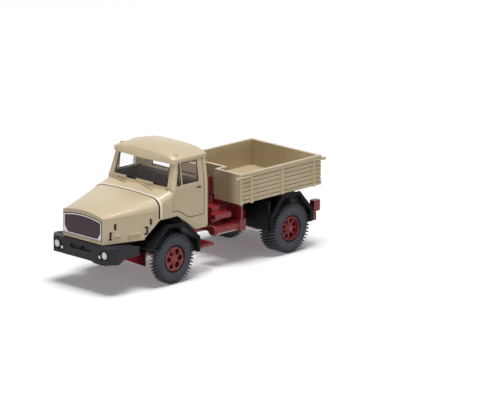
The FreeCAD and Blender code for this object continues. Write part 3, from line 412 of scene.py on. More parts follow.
def plate(bm, loops, y0, y1):
    # a flat plate across X and Z between an outer loop and its holes
    edges = []
    for loop in loops:
        edges += closedLoop(bm, [Vector((x, y0, z)) * mm for x, z in loop])[1]
    faces = only(bmesh.ops.triangle_fill(bm, edges=edges, use_beauty=True)["geom"], bmesh.types.BMFace)
    verts = only(bmesh.ops.extrude_face_region(bm, geom=faces)["geom"], bmesh.types.BMVert)
    bmesh.ops.translate(bm, verts=verts, vec=(0, (y1 - y0) * mm, 0))


def surfaceLine(bm, tree, points, width, out):
    # a thin strip laid along a surface through (y, z) points, seen from the left side
    for start, end in zip(points, points[1:]):
        rings = []
        for y, z in (start, end):
            place, normal = cast(tree, (20, y, z), (-1, 0, 0))
            along = Vector((0, end[0] - start[0], end[1] - start[1])).normalized()
            side = normal.cross(along).normalized() * width / 2 * mm
            along *= width / 2 * mm * (1 if (y, z) == end else -1)
            top = normal * out * mm
            foot = normal * -0.05 * mm
            rings.append([place + along + side + foot, place + along + side + top, place + along - side + top,
                          place + along - side + foot])
        sweep(bm, rings)


def block(bm, low, high):
    # a cuboid between two corners, given in millimetres
    low = Vector(low) * mm
    high = Vector(high) * mm
    size = high - low
    matrix = Matrix.Translation((low + high) / 2) @ Matrix.Diagonal(size.to_4d())
    return bmesh.ops.create_cube(bm, size=1, matrix=matrix)["verts"]


def turned(bm, outline, steps, axis=(1, 0, 0)):
    # spins a closed outline of (along the axis, radius) pairs, in millimetres
    axis = Vector(axis)
    up = Vector((0, 0, 1)) if abs(axis.z) < 0.5 else Vector((1, 0, 0))
    verts, edges = closedLoop(bm, [(axis * along + up * radius) * mm for along, radius in outline])
    bmesh.ops.spin(bm, geom=verts + edges, cent=(0, 0, 0), axis=axis, angle=2 * math.pi, steps=steps,
                   use_merge=True)
    bmesh.ops.remove_doubles(bm, verts=bm.verts, dist=0.001 * mm)


def pieceOf(verts):
    faces = list({face for vert in verts for face in vert.link_faces})
    edges = list({edge for vert in verts for edge in vert.link_edges})
    return list(verts) + edges + faces


def ringOf(bm, verts, count, turn=0.0):
    # repeats one loose piece round the X axis
    rotate(bm, verts, turn, "X")
    bmesh.ops.spin(bm, geom=pieceOf(verts), cent=(0, 0, 0), axis=(1, 0, 0), steps=count - 1,
                   angle=2 * math.pi * (count - 1) / count, use_duplicate=True)


def surfaceOf(nodeName):
    bm = bmesh.new()
    bm.from_mesh(nodes[nodeName].data)
    tree = BVHTree.FromBMesh(bm)
    bm.free()
    return tree


def cast(tree, start, direction):
    # place and outward normal where a line meets a surface; start in millimetres
    place, normal = tree.ray_cast(Vector(start) * mm, Vector(direction))[:2]
    if normal.dot(Vector(direction)) > 0:
        normal = -normal
    return place, normal


def seatOn(bm, verts, place, normal, up=(0, 0, 1)):
    # moves verts from local (along, up, out) to a spot on a surface
    out = normal.normalized()
    along = Vector(up).cross(out).normalized()
    matrix = Matrix((along, out.cross(along), out)).transposed().to_4x4()
    matrix.translation = place
    bmesh.ops.transform(bm, matrix=matrix, verts=verts)


def bothSides(bm):
    copied = bmesh.ops.duplicate(bm, geom=bm.verts[:] + bm.edges[:] + bm.faces[:])["geom"]
    bmesh.ops.scale(bm, vec=(-1, 1, 1), verts=only(copied, bmesh.types.BMVert))


def sweep(bm, rings):
    # pulls the first closed ring of points through the others and caps both ends
    verts, edges = closedLoop(bm, rings[0])
    bm.faces.new(verts)
    for ring in rings[1:]:
        pulled = only(bmesh.ops.extrude_edge_only(bm, edges=edges)["geom"], bmesh.types.BMEdge)
        edges = [edge for edge in pulled if all(vert not in verts for vert in edge.verts)]
        fresh = {vert for edge in edges for vert in edge.verts}
        verts = [next(edge.other_vert(vert) for edge in vert.link_edges if edge.other_vert(vert) in fresh)
                 for vert in verts]
        for vert, point in zip(verts, ring):
            vert.co = point
    bm.faces.new(verts)


# tyres: smooth sidewalls with a row of pointed lugs on each shoulder

tyre = {"lugs": 44, "steps": 96, "lugLength": 0.50, "tipShare": 0.62, "skew": 0.16, "edge": 0.06,
        "inner": 0.06, "outer": 1.40, "foot": 6.2, "top": 7.0, "lean": 0.06, "shoulder": 5.72,
        "shoulderShare": 0.75,
        "profile": [(0.62, 3.84), (1.14, 3.84), (1.28, 3.92), (1.35, 4.15), (1.31, 4.24), (1.37, 4.34),
                    (1.39, 4.90), (1.37, 5.45), (1.28, 5.85), (1.12, 6.16), (0.85, 6.32), (0.30, 6.38)]}


def makeTyre():
    bm = bmesh.new()
    turned(bm, tyre["profile"] + [(-x, radius) for x, radius in reversed(tyre["profile"])], tyre["steps"])
    half = tyre["lugLength"] / 2
    middle = 0.7 * mm
    for side in (-1, 1):
        reach = sorted((tyre["inner"] * side, tyre["outer"] * side))
        verts = block(bm, (reach[0], -half, tyre["foot"]), (reach[1], half, tyre["top"]))
        for vert in verts:
            outer = abs(vert.co.x) > middle
            top = vert.co.z > (tyre["foot"] + tyre["top"]) / 2 * mm
            if top:
                vert.co.y *= tyre["tipShare"]
            if top and outer:
                vert.co.x -= tyre["lean"] * mm * side
            if outer and not top:
                vert.co.z = tyre["shoulder"] * mm
                vert.co.y *= tyre["shoulderShare"]
            vert.co.y += tyre["skew"] * (abs(vert.co.x) - middle) * side
        edges = list({edge for vert in verts for edge in vert.link_edges})
        out = bmesh.ops.bevel(bm, geom=edges, offset=tyre["edge"] * mm, segments=1, affect="EDGES",
                              profile=0.5, material=-1)
        ringOf(bm, out["verts"], tyre["lugs"], math.pi / tyre["lugs"] if side < 0 else 0.0)
    return bm


for name in sorted(name for name in nodes if name.startswith("tyre_")):
    bm = makeTyre()
    if middleOf(name).x < 0:
        rotate(bm, bm.verts, math.pi, "Z")
    bmesh.ops.translate(bm, verts=bm.verts, vec=middleOf(name))
    obj = newPiece(name + "_lugged", bm, "tyre_black", nodeBody[name], (name,))
    smoothShade(obj, 35)
print("tyres made")


# rims: barrel with a lip, a disc with holes, a stepped hub, and a black ring of painted shade in the groove
# at the lip

rims = {
    "rim_front": {"lip": 1.08, "disc": 0.92, "wall": 0.3, "holes": 6, "holeCircle": 2.08, "hole": 0.84,
                  "hub": [(0.2, 0.0), (0.2, 1.15), (0.98, 1.15), (1.10, 1.02), (1.12, 0.80), (1.02, 0.74),
                          (1.02, 0.52), (1.20, 0.46), (1.26, 0.34), (1.26, 0.0)], "drum": -0.1},
    "rim_rear": {"lip": 1.05, "disc": 0.20, "wall": 0.3, "holes": 8, "holeCircle": 2.22, "hole": 0.66,
                 "hub": [(-0.6, 0.0), (-0.6, 1.45), (0.34, 1.45), (0.46, 1.32), (0.46, 1.12), (0.78, 1.02),
                         (0.86, 0.92), (0.86, 0.74), (0.78, 0.68), (1.02, 0.60), (1.10, 0.48), (1.10, 0.0)],
                 "drum": -0.75},
}
rimRing = {"outer": 3.40, "inner": 3.14, "seat": 3.84, "barrel": 3.06, "steps": 72, "lipWidth": 0.62,
           "round": 0.07, "hubHole": 0.9, "lipShadeRing": (-0.05, 0.14),
           "drum": [(-0.2, 0.6), (-0.2, 3.2), (0, 3.2), (0.1, 2.9), (0.1, 0.6)]}


def roundLoop(radius, steps, y=0.0, z=0.0):
    angles = [2 * math.pi * step / steps for step in range(steps)]
    return [(y + radius * math.sin(angle), z + radius * math.cos(angle)) for angle in angles]


def makeRim(values, backX):
    bm = bmesh.new()
    lip = values["lip"]
    ring = rimRing
    step = lip - ring["lipWidth"]
    turned(bm, [(backX, ring["seat"]), (step, ring["seat"]), (step + ring["round"], ring["outer"]),
                (lip - 0.08, ring["outer"]), (lip, ring["outer"] - 0.06), (lip, ring["inner"] + 0.04),
                (lip - ring["round"], ring["inner"]), (values["disc"] - 0.1, ring["barrel"]),
                (backX, ring["barrel"])], ring["steps"])
    # the disc is a flat plate with round hand holes between its rim and the hub
    disc = bmesh.new()
    loops = [roundLoop(ring["barrel"] + 0.06, ring["steps"]), roundLoop(ring["hubHole"], 32)]
    for hole in range(values["holes"]):
        angle = 2 * math.pi * (hole + 0.5) / values["holes"]
        loops.append(roundLoop(values["hole"], 20, values["holeCircle"] * math.sin(angle),
                               values["holeCircle"] * math.cos(angle)))
    plate(disc, loops, 0, values["wall"])
    rotate(disc, disc.verts, math.pi / 2, "Z")
    addPart(bm, disc, Matrix.Translation((values["disc"] * mm, 0, 0)))
    turned(bm, values["hub"], 40)
    turned(bm, [(values["drum"] + along, radius) for along, radius in ring["drum"]], 48)
    return bm


for name in sorted(name for name in nodes if name.startswith("rim_")):
    values = rims[name[:name.rindex("_")]]
    low, high = boxOf(name)
    tyreMiddle = middleOf(name.replace("rim_front", "tyre_front").replace("rim_rear", "tyre_rear_outer"))
    flip = tyreMiddle.x < 0
    backX = tyreMiddle.x / mm - high.x if flip else low.x - tyreMiddle.x / mm
    bm = makeRim(values, backX + 0.3)
    # a black ring in the step behind the lip: painted shade between rim and tyre
    lipShadeRing = bmesh.new()
    back, out = [values["lip"] - rimRing["lipWidth"] + along for along in rimRing["lipShadeRing"]]
    inside = rimRing["outer"] - 0.02
    outside = rimRing["seat"] + 0.04
    turned(lipShadeRing, [(back, inside), (back, outside), (out, outside), (out, inside)], rimRing["steps"])
    for part in (bm, lipShadeRing):
        if flip:
            rotate(part, part.verts, math.pi, "Z")
        bmesh.ops.translate(part, verts=part.verts, vec=tyreMiddle)
    newPiece(name + "_turned", bm, "chassis_red", nodeBody[name], (name,), soft=(0.06, 3, 35))
    newPiece(name + "_lip_shade_ring", lipShadeRing, "guard_black", nodeBody[name])
print("rims made")


# bonnet: catches on the sides, louvres with painted shade in the slots, panel ridge, and the cowl's raised
# lip, lighter as a painted highlight, with painted shade at its joint

catches = [
    {"y": -35.6, "z": 18.2, "parts": [(-0.22, -0.85, 0.22, 0.85)]},
    {"y": -25.36, "z": 18.4, "parts": [(-0.22, -0.85, 0.22, 0.85)]},
    {"y": -36.95, "z": 15.8, "parts": [(-0.18, -1.1, 0.18, 1.1), (-0.5, -1.1, 0.3, -0.75),
                                       (-0.3, 0.75, 0.45, 1.1)]},
    {"y": -26.42, "z": 16.1, "parts": [(-0.18, -1.1, 0.18, 1.1), (-0.8, -1.1, 0.18, -0.72),
                                       (-0.7, 0.7, 0.18, 1.1)]},
]
catchDepth = (-0.15, 0.3)
louvres = {"rows": [(-30.1, 14.45, 3.7), (-30.1, 15.05, 3.7), (-30.1, 15.65, 3.7), (-34.9, 15.1, 2.0),
                    (-34.9, 15.65, 2.0)], "height": 0.30, "out": 0.28, "slot": 0.14, "slotOut": 0.03}
ridge = {"start": (-38.4, 20.75), "end": (-22.95, 21.36), "height": 0.2, "out": 0.16}
cowlLip = {"front": -22.62, "depth": 0.85, "out": 0.34, "steps": 72, "sink": 0.2, "roundSteps": 8,
           "fullness": 0.7, "outlineY": -22.7}
# the black strip in front of the cowl lip is painted shade in the joint
jointShade = {"width": 0.22, "sideExtra": 0.2, "out": 0.05}

bonnet = surfaceOf("hood")

bm = bmesh.new()
for catch in catches:
    place, normal = cast(bonnet, (20, catch["y"], catch["z"]), (-1, 0, 0))
    for x0, z0, x1, z1 in catch["parts"]:
        verts = block(bm, (x0, z0, catchDepth[0]), (x1, z1, catchDepth[1]))
        seatOn(bm, verts, place, normal)
bothSides(bm)
newPiece("bonnet_catches", bm, "guard_black", soft=(0.08, 3))

bm = bmesh.new()
slotShade = bmesh.new()
half = louvres["height"] / 2
for y, z, length in louvres["rows"]:
    place, normal = cast(bonnet, (20, y, z), (-1, 0, 0))
    verts = block(bm, (-length / 2, -half, -0.1), (length / 2, half, louvres["out"]))
    for vert in verts:
        if vert.co.z > 0 and vert.co.y > 0:
            vert.co.z *= 0.3
    seatOn(bm, verts, place, normal)
    low = z - half - louvres["slot"] / 2
    reach = length / 2 - 0.1
    # a dark strip under each louvre: painted shade in its slot
    surfaceLine(slotShade, bonnet, [(y - reach, low), (y + reach, low)], louvres["slot"], louvres["slotOut"])
bothSides(slotShade)
newPiece("bonnet_slot_shade", slotShade, "beige_body", finishName="paintedShadeLine")
up = Vector((0, 0, ridge["height"] / 2 * mm))
rings = []
for y, z in (ridge["start"], ridge["end"]):
    place, normal = cast(bonnet, (20, y, z), (-1, 0, 0))
    out = normal * ridge["out"] * mm
    rings.append([place - up - normal * 0.1 * mm, place - up + out, place + up + out * 0.4,
                  place + up - normal * 0.1 * mm])
sweep(bm, rings)
bothSides(bm)
newPiece("bonnet_pressings", bm, "beige_body", soft=(0.03, 2))


def hoodOutline(y, steps):
    # points and normals round the bonnet's outside at one station, from side to side
    found = []
    for index in range(steps + 1):
        angle = math.radians(2 + 176 * index / steps)
        direction = Vector((math.cos(angle), 0, math.sin(angle)))
        start = Vector((0, y, 18.4)) + direction * 30
        place, normal = cast(bonnet, start, -direction)
        normal.y = 0
        found.append((place, normal.normalized()))
    return found


outline = hoodOutline(cowlLip["outlineY"], cowlLip["steps"])
front = cowlLip["front"] * mm
rear = front + cowlLip["depth"] * mm
rings = []
jointShadeRings = []
for index, (place, normal) in enumerate(outline):
    near = outline[max(index - 1, 0)][1] + normal + outline[min(index + 1, len(outline) - 1)][1]
    near.normalize()
    foot = place - near * cowlLip["sink"] * mm
    ring = [Vector((foot.x, front, foot.z))]
    for step in range(cowlLip["roundSteps"] + 1):
        angle = math.pi * step / cowlLip["roundSteps"]
        level = place + near * cowlLip["out"] * math.sin(angle) ** cowlLip["fullness"] * mm
        along = front + (rear - front) * (1 - math.cos(angle)) / 2
        ring.append(Vector((level.x, along, level.z)))
    rings.append(ring + [Vector((foot.x, rear, foot.z))])
    thin = place + near * jointShade["out"] * mm
    width = (jointShade["width"] + jointShade["sideExtra"] * abs(near.x)) * mm
    jointShadeRings.append([Vector((foot.x, front - width, foot.z)), Vector((thin.x, front - width, thin.z)),
                      Vector((thin.x, front, thin.z)), Vector((foot.x, front, foot.z))])
bm = bmesh.new()
sweep(bm, rings)
# the lip's lighter colour is a painted highlight on its rounded edge
obj = newPiece("cowl_lip", bm, "beige_body", finishName="lipPaintedHighlight")
smoothShade(obj, 50)
# a black strip in front of the lip: painted shade in the joint of bonnet and cowl
bm = bmesh.new()
sweep(bm, jointShadeRings)
newPiece("bonnet_joint_shade", bm, "guard_black")
print("bonnet details made")


# cab: wipers, screen ledge, door handles, painted shade in the shut lines, linings, roof markers and window
# gaskets

wipers = {"blades": [(-11.1, -4.9), (-0.9, 5.6)], "y": -18.5, "bottom": 26.32, "top": 26.9, "depth": 0.36,
          "armStart": (2.6, -18.6), "armEnd": (1.0, -19.7), "armRadius": 0.2, "pivot": 0.36, "lift": 0.12,
          "rubber": 0.22}
ledge = {"y": -17.8, "half": 11.2, "bow": 0.3, "endTurn": 0.25, "depth": 0.42, "out": 0.42, "sink": 0.3,
         "steps": 20}
doorLine = {"points": [(-17.74, 25.2), (-17.74, 19.81), (-15.9, 19.81), (-11.6, 17.21), (-6.01, 17.21),
                       (-6.01, 26.1), (-6.01, 32.79)], "width": 0.2}
cornerStrip = {"y": -5.25, "levels": (13.9, 26.1, 32.2), "half": 0.52, "out": 0.16, "sink": 0.1, "steps": 10}

cabSurface = surfaceOf("cab_shell")
bm = bmesh.new()
for x0, x1 in wipers["blades"]:
    y = wipers["y"]
    bottom = wipers["bottom"]
    block(bm, (x0, y, bottom), (x1, y + wipers["depth"], wipers["top"]))
    block(bm, (x0 + 0.3, y + 0.04, bottom - wipers["rubber"]), (x1 - 0.3, y + 0.28, bottom))
    startX = x0 + wipers["armStart"][0]
    endX = x1 + wipers["armEnd"][0]
    startPlace = cast(cabSurface, (startX, wipers["armStart"][1], 40), (0, 0, -1))[0] / mm
    endPlace = cast(cabSurface, (endX, wipers["armEnd"][1], 40), (0, 0, -1))[0] / mm
    lift = Vector((0, 0, wipers["armRadius"] + wipers["lift"]))
    rod(bm, startPlace + lift, endPlace + lift, wipers["armRadius"], 12)
    rod(bm, endPlace - lift, endPlace + lift * 1.6, wipers["pivot"], 20)
    block(bm, (startX - 0.25, wipers["armStart"][1] - 0.2, startPlace.z),
          (startX + 0.35, y + 0.1, bottom + 0.15))
newPiece("wipers", bm, "beige_body", soft=(0.06, 2))

bm = bmesh.new()
rings = []
for index in range(ledge["steps"] + 1):
    share = -1 + 2 * index / ledge["steps"]
    x = ledge["half"] * share
    y = ledge["y"] - ledge["bow"] * (1 - share * share) + ledge["endTurn"] * share ** 8
    place = cast(cabSurface, (x, y, 40), (0, 0, -1))[0]
    depth = ledge["depth"]
    out = ledge["out"]
    rings.append([place + Vector(offset) * mm for offset in (
        (0, -depth, -ledge["sink"]), (0, -depth, out * 0.6), (0, -depth * 0.5, out), (0, 0, out),
        (0, 0, -ledge["sink"]))])
sweep(bm, rings)
newPiece("screen_ledge", bm, "beige_body", soft=(0.06, 2))

# a dark strip along each door's shut line: painted shade in its groove
bm = bmesh.new()
surfaceLine(bm, cabSurface, doorLine["points"], doorLine["width"], 0.05)
bothSides(bm)
newPiece("door_shut_line_shade", bm, "beige_body", finishName="paintedShadeLine")

bm = bmesh.new()
rings = []
for z in cornerStrip["levels"]:
    place = cast(cabSurface, (20, cornerStrip["y"], z), (-1, 0, 0))[0]
    ring = []
    for index in range(cornerStrip["steps"] + 1):
        angle = math.pi * index / cornerStrip["steps"]
        offset = (cornerStrip["out"] * math.sin(angle), -cornerStrip["half"] * math.cos(angle), 0)
        ring.append(place + Vector(offset) * mm)
    for y in (cornerStrip["half"], -cornerStrip["half"]):
        ring.append(place + Vector((-cornerStrip["sink"], y, 0)) * mm)
    rings.append(ring)
sweep(bm, rings)
bothSides(bm)
obj = newPiece("door_posts", bm, "beige_body")
smoothShade(obj, 50)

# each part of a lining stands in from the door by its depth, between two (y, z) corners
lining = {"x": 12.0, "low": 18.6, "backWall": (-5.62, -5.42, 25.75),
          "parts": [(0.16, 0.1, (-16.2, 18.6), (-5.5, 26.6)), (0.75, 0, (-12.5, 24.2), (-8.4, 24.75)),
                    (0.35, 0, (-14.2, 19.4), (-9.2, 21.2))]}
bm = bmesh.new()
for depth, sink, low, high in lining["parts"]:
    block(bm, (lining["x"] - depth,) + low, (lining["x"] + sink,) + high)
bothSides(bm)
front, rear, top = lining["backWall"]
block(bm, (-lining["x"], front, lining["low"]), (lining["x"], rear, top))
newPiece("door_linings", bm, "interior_brown", soft=(0.1, 3))

handle = {"place": (-8.1, 25.1), "low": (-0.7, -0.17, -0.1), "high": (0.7, 0.17, 0.28)}
bm = bmesh.new()
place, normal = cast(cabSurface, (20,) + handle["place"], (-1, 0, 0))
seatOn(bm, block(bm, handle["low"], handle["high"]), place, normal)
bothSides(bm)
newPiece("door_handles", bm, "guard_black", soft=(0.06, 2))

marker = {"place": (10.5, -14.5), "low": (-0.55, -0.3, -0.2), "high": (0.55, 0.3, 0.28)}
bm = bmesh.new()
place, normal = cast(cabSurface, marker["place"] + (50,), (0, 0, -1))
seatOn(bm, block(bm, marker["low"], marker["high"]), place, normal, (0, 1, 0))
bothSides(bm)
newPiece("roof_markers", bm, "beige_body", soft=(0.12, 3))


def gasket(nodeName, facing, width=0.2, proud=0.12):
    # rubber strip round a pane, taken from the pane's own outline
    facing = Vector(facing)
    bm = bmesh.new()
    bm.from_mesh(nodes[nodeName].data)
    bmesh.ops.remove_doubles(bm, verts=bm.verts, dist=0.002 * mm)
    away = [face for face in bm.faces if face.normal.dot(facing) < 0.6]
    bmesh.ops.delete(bm, geom=away, context="FACES")
    bmesh.ops.inset_region(bm, faces=bm.faces[:], thickness=width * mm, use_even_offset=True,
                           use_boundary=True)
    inner = [face for face in bm.faces if not any(edge.is_boundary for edge in face.edges)]
    bmesh.ops.delete(bm, geom=inner, context="FACES")
    bmesh.ops.solidify(bm, geom=bm.verts[:] + bm.edges[:] + bm.faces[:], thickness=-proud * mm)
    newPiece(nodeName + "_gasket", bm, "guard_black")


panes = {"windscreen": (0, -1, 0), "rear_window": (0, 1, 0), "side_window_left": (1, 0, 0),
         "side_window_right": (-1, 0, 0)}
for pane, facing in panes.items():
    gasket(pane, facing)
print("cab details made")


# bumper: round lamps in dark surrounds and studded treads on the wings

# outlines are (depth, share of the lamp's radius), the front of the bumper at depth 0
headlamp = {"lamps": [(9.35, 11.1, 1.06), (7.4, 10.4, 0.5)], "bezel": 0.13, "surround": 0.36, "steps": 40,
            "surroundDepth": (-0.035, 0.2),
            "lens": [(0.4, 0.0), (0.4, 1), (0.02, 1), (-0.04, 0.92), (-0.08, 0.6), (-0.10, 0.3),
                     (-0.11, 0.0)],
            "ring": [(0.0, 0.62), (-0.10, 0.62), (-0.12, 0.56), (-0.12, 0.5), (0.0, 0.48)]}
bumperFront = boxOf("bumper")[0].y


def lampPart(bm, outline, x, z):
    part = bmesh.new()
    turned(part, outline, headlamp["steps"], axis=(0, 1, 0))
    addPart(bm, part, Matrix.Translation(Vector((x, bumperFront, z)) * mm))


lenses, lampRings, bezels, surrounds = [bmesh.new() for _ in range(4)]
hullVerts = []
for x, z, radius in headlamp["lamps"]:
    lampPart(lenses, [(depth, radius * share) for depth, share in headlamp["lens"]], x, z)
    lampPart(lampRings, [(depth, radius * share) for depth, share in headlamp["ring"]], x, z)
    bezel = radius + headlamp["bezel"]
    lampPart(bezels, [(0.4, radius), (0.4, bezel), (-0.06, bezel), (-0.11, bezel - 0.05),
                      (-0.11, radius + 0.04), (-0.04, radius)], x, z)
    for y in headlamp["surroundDepth"]:
        matrix = Matrix.Translation(Vector((x, bumperFront + y, z)) * mm)
        matrix = matrix @ Matrix.Rotation(math.pi / 2, 4, "X")
        ring = bmesh.ops.create_circle(surrounds, segments=headlamp["steps"], matrix=matrix,
                                       radius=(radius + headlamp["surround"]) * mm)
        hullVerts += ring["verts"]
hull = bmesh.ops.convex_hull(surrounds, input=hullVerts)
bmesh.ops.delete(surrounds, geom=only(hull["geom_interior"], bmesh.types.BMVert), context="VERTS")
bmesh.ops.dissolve_limit(surrounds, angle_limit=math.radians(1), verts=surrounds.verts, edges=surrounds.edges)
for bm, name, slotName, finishName, replaced in (
        (lenses, "headlamp_lenses", "lamp_clear", None, ("headlamps",)),
        (lampRings, "headlamp_rings", "lamp_clear", "lampRing", ()),
        (bezels, "headlamp_bezels", "guard_black", None, ()),
        (surrounds, "headlamp_surrounds", "guard_black", None, ())):
    bothSides(bm)
    obj = newPiece(name, bm, slotName, "chassis", replaced, finishName)
    smoothShade(obj, 40)

treads = {"x": (8.5, 12.1), "y": (-37.4, -31.6), "pitch": 0.5, "stud": 0.26, "sink": 0.04, "out": 0.16}
bumperSurface = surfaceOf("bumper")
bm = bmesh.new()
row = 0
y = treads["y"][0]
while y < treads["y"][1]:
    x = treads["x"][0] + (row % 2) * treads["pitch"] / 2
    while x < treads["x"][1]:
        place, normal = cast(bumperSurface, (x, y, 30), (0, 0, -1))
        half = treads["stud"] / 2
        stud = block(bm, (-half, -half, -treads["sink"]), (half, half, treads["out"]))
        rotate(bm, stud, math.pi / 4, "Z")
        seatOn(bm, stud, place, normal, (0, 1, 0))
        x += treads["pitch"]
    y += treads["pitch"] / 2
    row += 1
bothSides(bm)
newPiece("wing_treads", bm, "bumper_grey")

# dark plates of painted shade that close the view from the wheel arch and the wing to the frame
arch = {"x": 6.85, "thick": 0.2,
        "outline": [(-26.2, 12.0), (-24.6, 13.6), (-21.4, 16.4), (-15.2, 15.9), (-9.6, 11.4), (-9.6, 10.0),
                    (-12.5, 8.4), (-24.0, 8.4), (-26.2, 10.5)],
        "blocks": [((7.0, -37.2, 11.6), (7.5, -26.0, 14.0)), ((7.4, -9.7, 11.7), (7.7, -5.6, 14.3))]}
bm = bmesh.new()
plate(bm, [[(-y, z) for y, z in arch["outline"]]], 0, arch["thick"])
rotate(bm, bm.verts, -math.pi / 2, "Z")
bmesh.ops.translate(bm, verts=bm.verts, vec=(arch["x"] * mm, 0, 0))
for low, high in arch["blocks"]:
    block(bm, low, high)
bothSides(bm)
newPiece("arch_shade_plates", bm, "guard_black")
print("lamps made")


# radiator panel: thin bright frame with corner gussets, a black plate behind it as painted shade in the gap
# round it, and a fine mesh

radiator = {"gap": 0.22, "line": 0.25, "rise": 0.8, "gussetX": 1.15, "gussetZ": 1.6, "steps": 14,
            "barPitch": 0.42, "barHeight": 0.17, "barOut": 0.09, "postPitch": 0.72, "postHalf": 0.05,
            "meshDepth": 0.22, "rivet": 0.13, "rivetIn": 0.36, "rivetUp": 0.42}
frameLow, frameHigh = boxOf("grille_frame")


def archedOutline(inset, cut):
    half = frameHigh.x - inset
    low = frameLow.z + inset
    side = frameHigh.z - radiator["rise"] - inset
    stations = [-1 + 2 * index / radiator["steps"] for index in range(radiator["steps"] + 1)]
    arch = [(half * t, side + radiator["rise"] * (1 - t * t)) for t in stations]
    if not cut:
        return [(-half, low)] + arch + [(half, low)]
    return [(-half + radiator["gussetX"], low), (-half, low + radiator["gussetZ"])] + arch + [
        (half, low + radiator["gussetZ"]), (half - radiator["gussetX"], low)]


panelInset = radiator["gap"] + radiator["line"]
bm = bmesh.new()
plate(bm, [archedOutline(radiator["gap"], False), archedOutline(panelInset, True)], frameLow.y,
      frameHigh.y - 0.05)
newPiece("radiator_frame", bm, "silver_trim", replaced=("grille_frame",), soft=(0.03, 2))
# a black plate behind the frame, with two rivets: painted shade that shows in the gap round the frame
bm = bmesh.new()
plate(bm, [archedOutline(-0.02, False)], frameHigh.y - 0.26, frameHigh.y - 0.02)
for side in (-1, 1):
    x = side * (frameHigh.x - radiator["gap"] - radiator["rivetIn"])
    z = frameLow.z + radiator["gap"] + radiator["rivetUp"]
    rod(bm, (x, frameLow.y - 0.03, z), (x, frameLow.y + 0.2, z), radiator["rivet"], 12)
newPiece("radiator_gap_shade", bm, "guard_black")
bm = bmesh.new()
face = frameLow.y + radiator["meshDepth"]
plate(bm, [archedOutline(panelInset - 0.02, True)], face, frameHigh.y - 0.05)
half = frameHigh.x - panelInset
low = frameLow.z + panelInset
side = frameHigh.z - radiator["rise"] - panelInset
z = low + 0.15
while z < side + radiator["rise"] - 0.15:
    reach = half
    if z < low + radiator["gussetZ"]:
        reach = half - radiator["gussetX"] * (1 - (z - low) / radiator["gussetZ"])
    if z > side:
        reach = half * math.sqrt(1 - (z - side) / radiator["rise"])
    block(bm, (-reach + 0.05, face - radiator["barOut"], z),
          (reach - 0.05, face + 0.05, z + radiator["barHeight"]))
    z += radiator["barPitch"]
x = -half + 0.5
while x < half - 0.3:
    cut = max(0.0, (abs(x) - half + radiator["gussetX"]) / radiator["gussetX"])
    foot = low + cut * radiator["gussetZ"]
    top = side + radiator["rise"] * (1 - (x / half) ** 2)
    block(bm, (x - radiator["postHalf"], face - radiator["barOut"] * 0.6, foot + 0.1),
          (x + radiator["postHalf"], face + 0.05, top - 0.05))
    x += radiator["postPitch"]
newPiece("radiator_mesh", bm, "grille_dark", replaced=("grille",), soft=(0.02, 1))
print("radiator panel made")


# bed sides: boards between stakes under a top rail, corner rods with eyes and hinge knuckles

bedSide = {"rail": 0.6, "first": 1.5, "pitch": 1.2, "gap": 0.24, "rungGap": 0.45, "core": 0.2,
           "boardOut": 0.6, "stake": 0.8, "stations": (0, 4.1, 16.125, 28.55), "peg": 0.2,
           "pegDown": 1.1, "rod": 0.3, "rodDrop": 1.1, "rodEnds": (3.7, 2.6), "knuckle": 0.42,
           "knuckleSteps": (0.9, 1.6, 2.3, 2.9), "knuckleHalf": 0.26, "hinge": 0.36, "hingeUp": 0.12,
           "hingeUpOverGuard": 0.42}


def makeBedSide():
    low, high = boxOf("bed_side_left")
    y0 = boxOf("bed_front_wall")[0].y
    y1 = boxOf("tailgate")[1].y
    bm = bmesh.new()
    block(bm, (low.x, y0, low.z + 0.05), (low.x + bedSide["core"], y1, high.z - bedSide["rail"]))
    block(bm, (low.x, y0, high.z - bedSide["rail"]), (high.x, y1, high.z))
    stakes = [y0 + station for station in bedSide["stations"]]
    guardLow, guardHigh = boxOf("mudguard_rear_left")
    for y in stakes:
        # a hinge over the mudguard stays above the side's lower edge, clear of the guard's top
        overGuard = guardLow.y - 1 < y < guardHigh.y + 1
        hingeZ = low.z + bedSide["hingeUpOverGuard" if overGuard else "hingeUp"]
        block(bm, (low.x + 0.1, y, low.z), (high.x, y + bedSide["stake"], high.z - bedSide["rail"] + 0.05))
        rod(bm, (high.x - 0.12, y - 0.05, hingeZ), (high.x - 0.12, y + 0.85, hingeZ), bedSide["hinge"], 14)
        pegZ = high.z - bedSide["pegDown"]
        rod(bm, (high.x - 0.15, y + 0.4, pegZ), (high.x + 0.1, y + 0.4, pegZ), bedSide["peg"], 12)
    bays = list(zip([y + bedSide["stake"] for y in stakes], stakes[1:] + [y1]))
    for index, (start, end) in enumerate(bays):
        gap = bedSide["rungGap"] if index in (0, len(bays) - 1) else bedSide["gap"]
        top = high.z - bedSide["rail"] - 0.04
        joint = high.z - bedSide["first"]
        while joint > low.z + 0.3:
            block(bm, (low.x + 0.1, start - 0.05, joint + gap / 2),
                  (low.x + bedSide["boardOut"], end + 0.05, top))
            top = joint - gap / 2
            joint -= bedSide["pitch"]
        block(bm, (low.x + 0.1, start - 0.05, low.z + 0.03), (low.x + bedSide["boardOut"], end + 0.05, top))
    rodX = high.x - bedSide["rod"] + 0.12
    rodZ = high.z - bedSide["rodDrop"]
    frontEnd, rearEnd = bedSide["rodEnds"]
    for start, end, eye in ((low.y, y0 + frontEnd, low.y), (y1 - rearEnd, high.y, high.y)):
        rod(bm, (rodX, start, rodZ), (rodX, end, rodZ), bedSide["rod"])
        rod(bm, (rodX - 0.3, eye, rodZ), (rodX + 0.3, eye, rodZ), bedSide["knuckle"], 20)
        spread = (end - start) / 3
        for step in bedSide["knuckleSteps"]:
            y = start + spread * step
            half = bedSide["knuckleHalf"]
            rod(bm, (rodX, y - half, rodZ), (rodX, y + half, rodZ), bedSide["knuckle"], 20)
    return bm


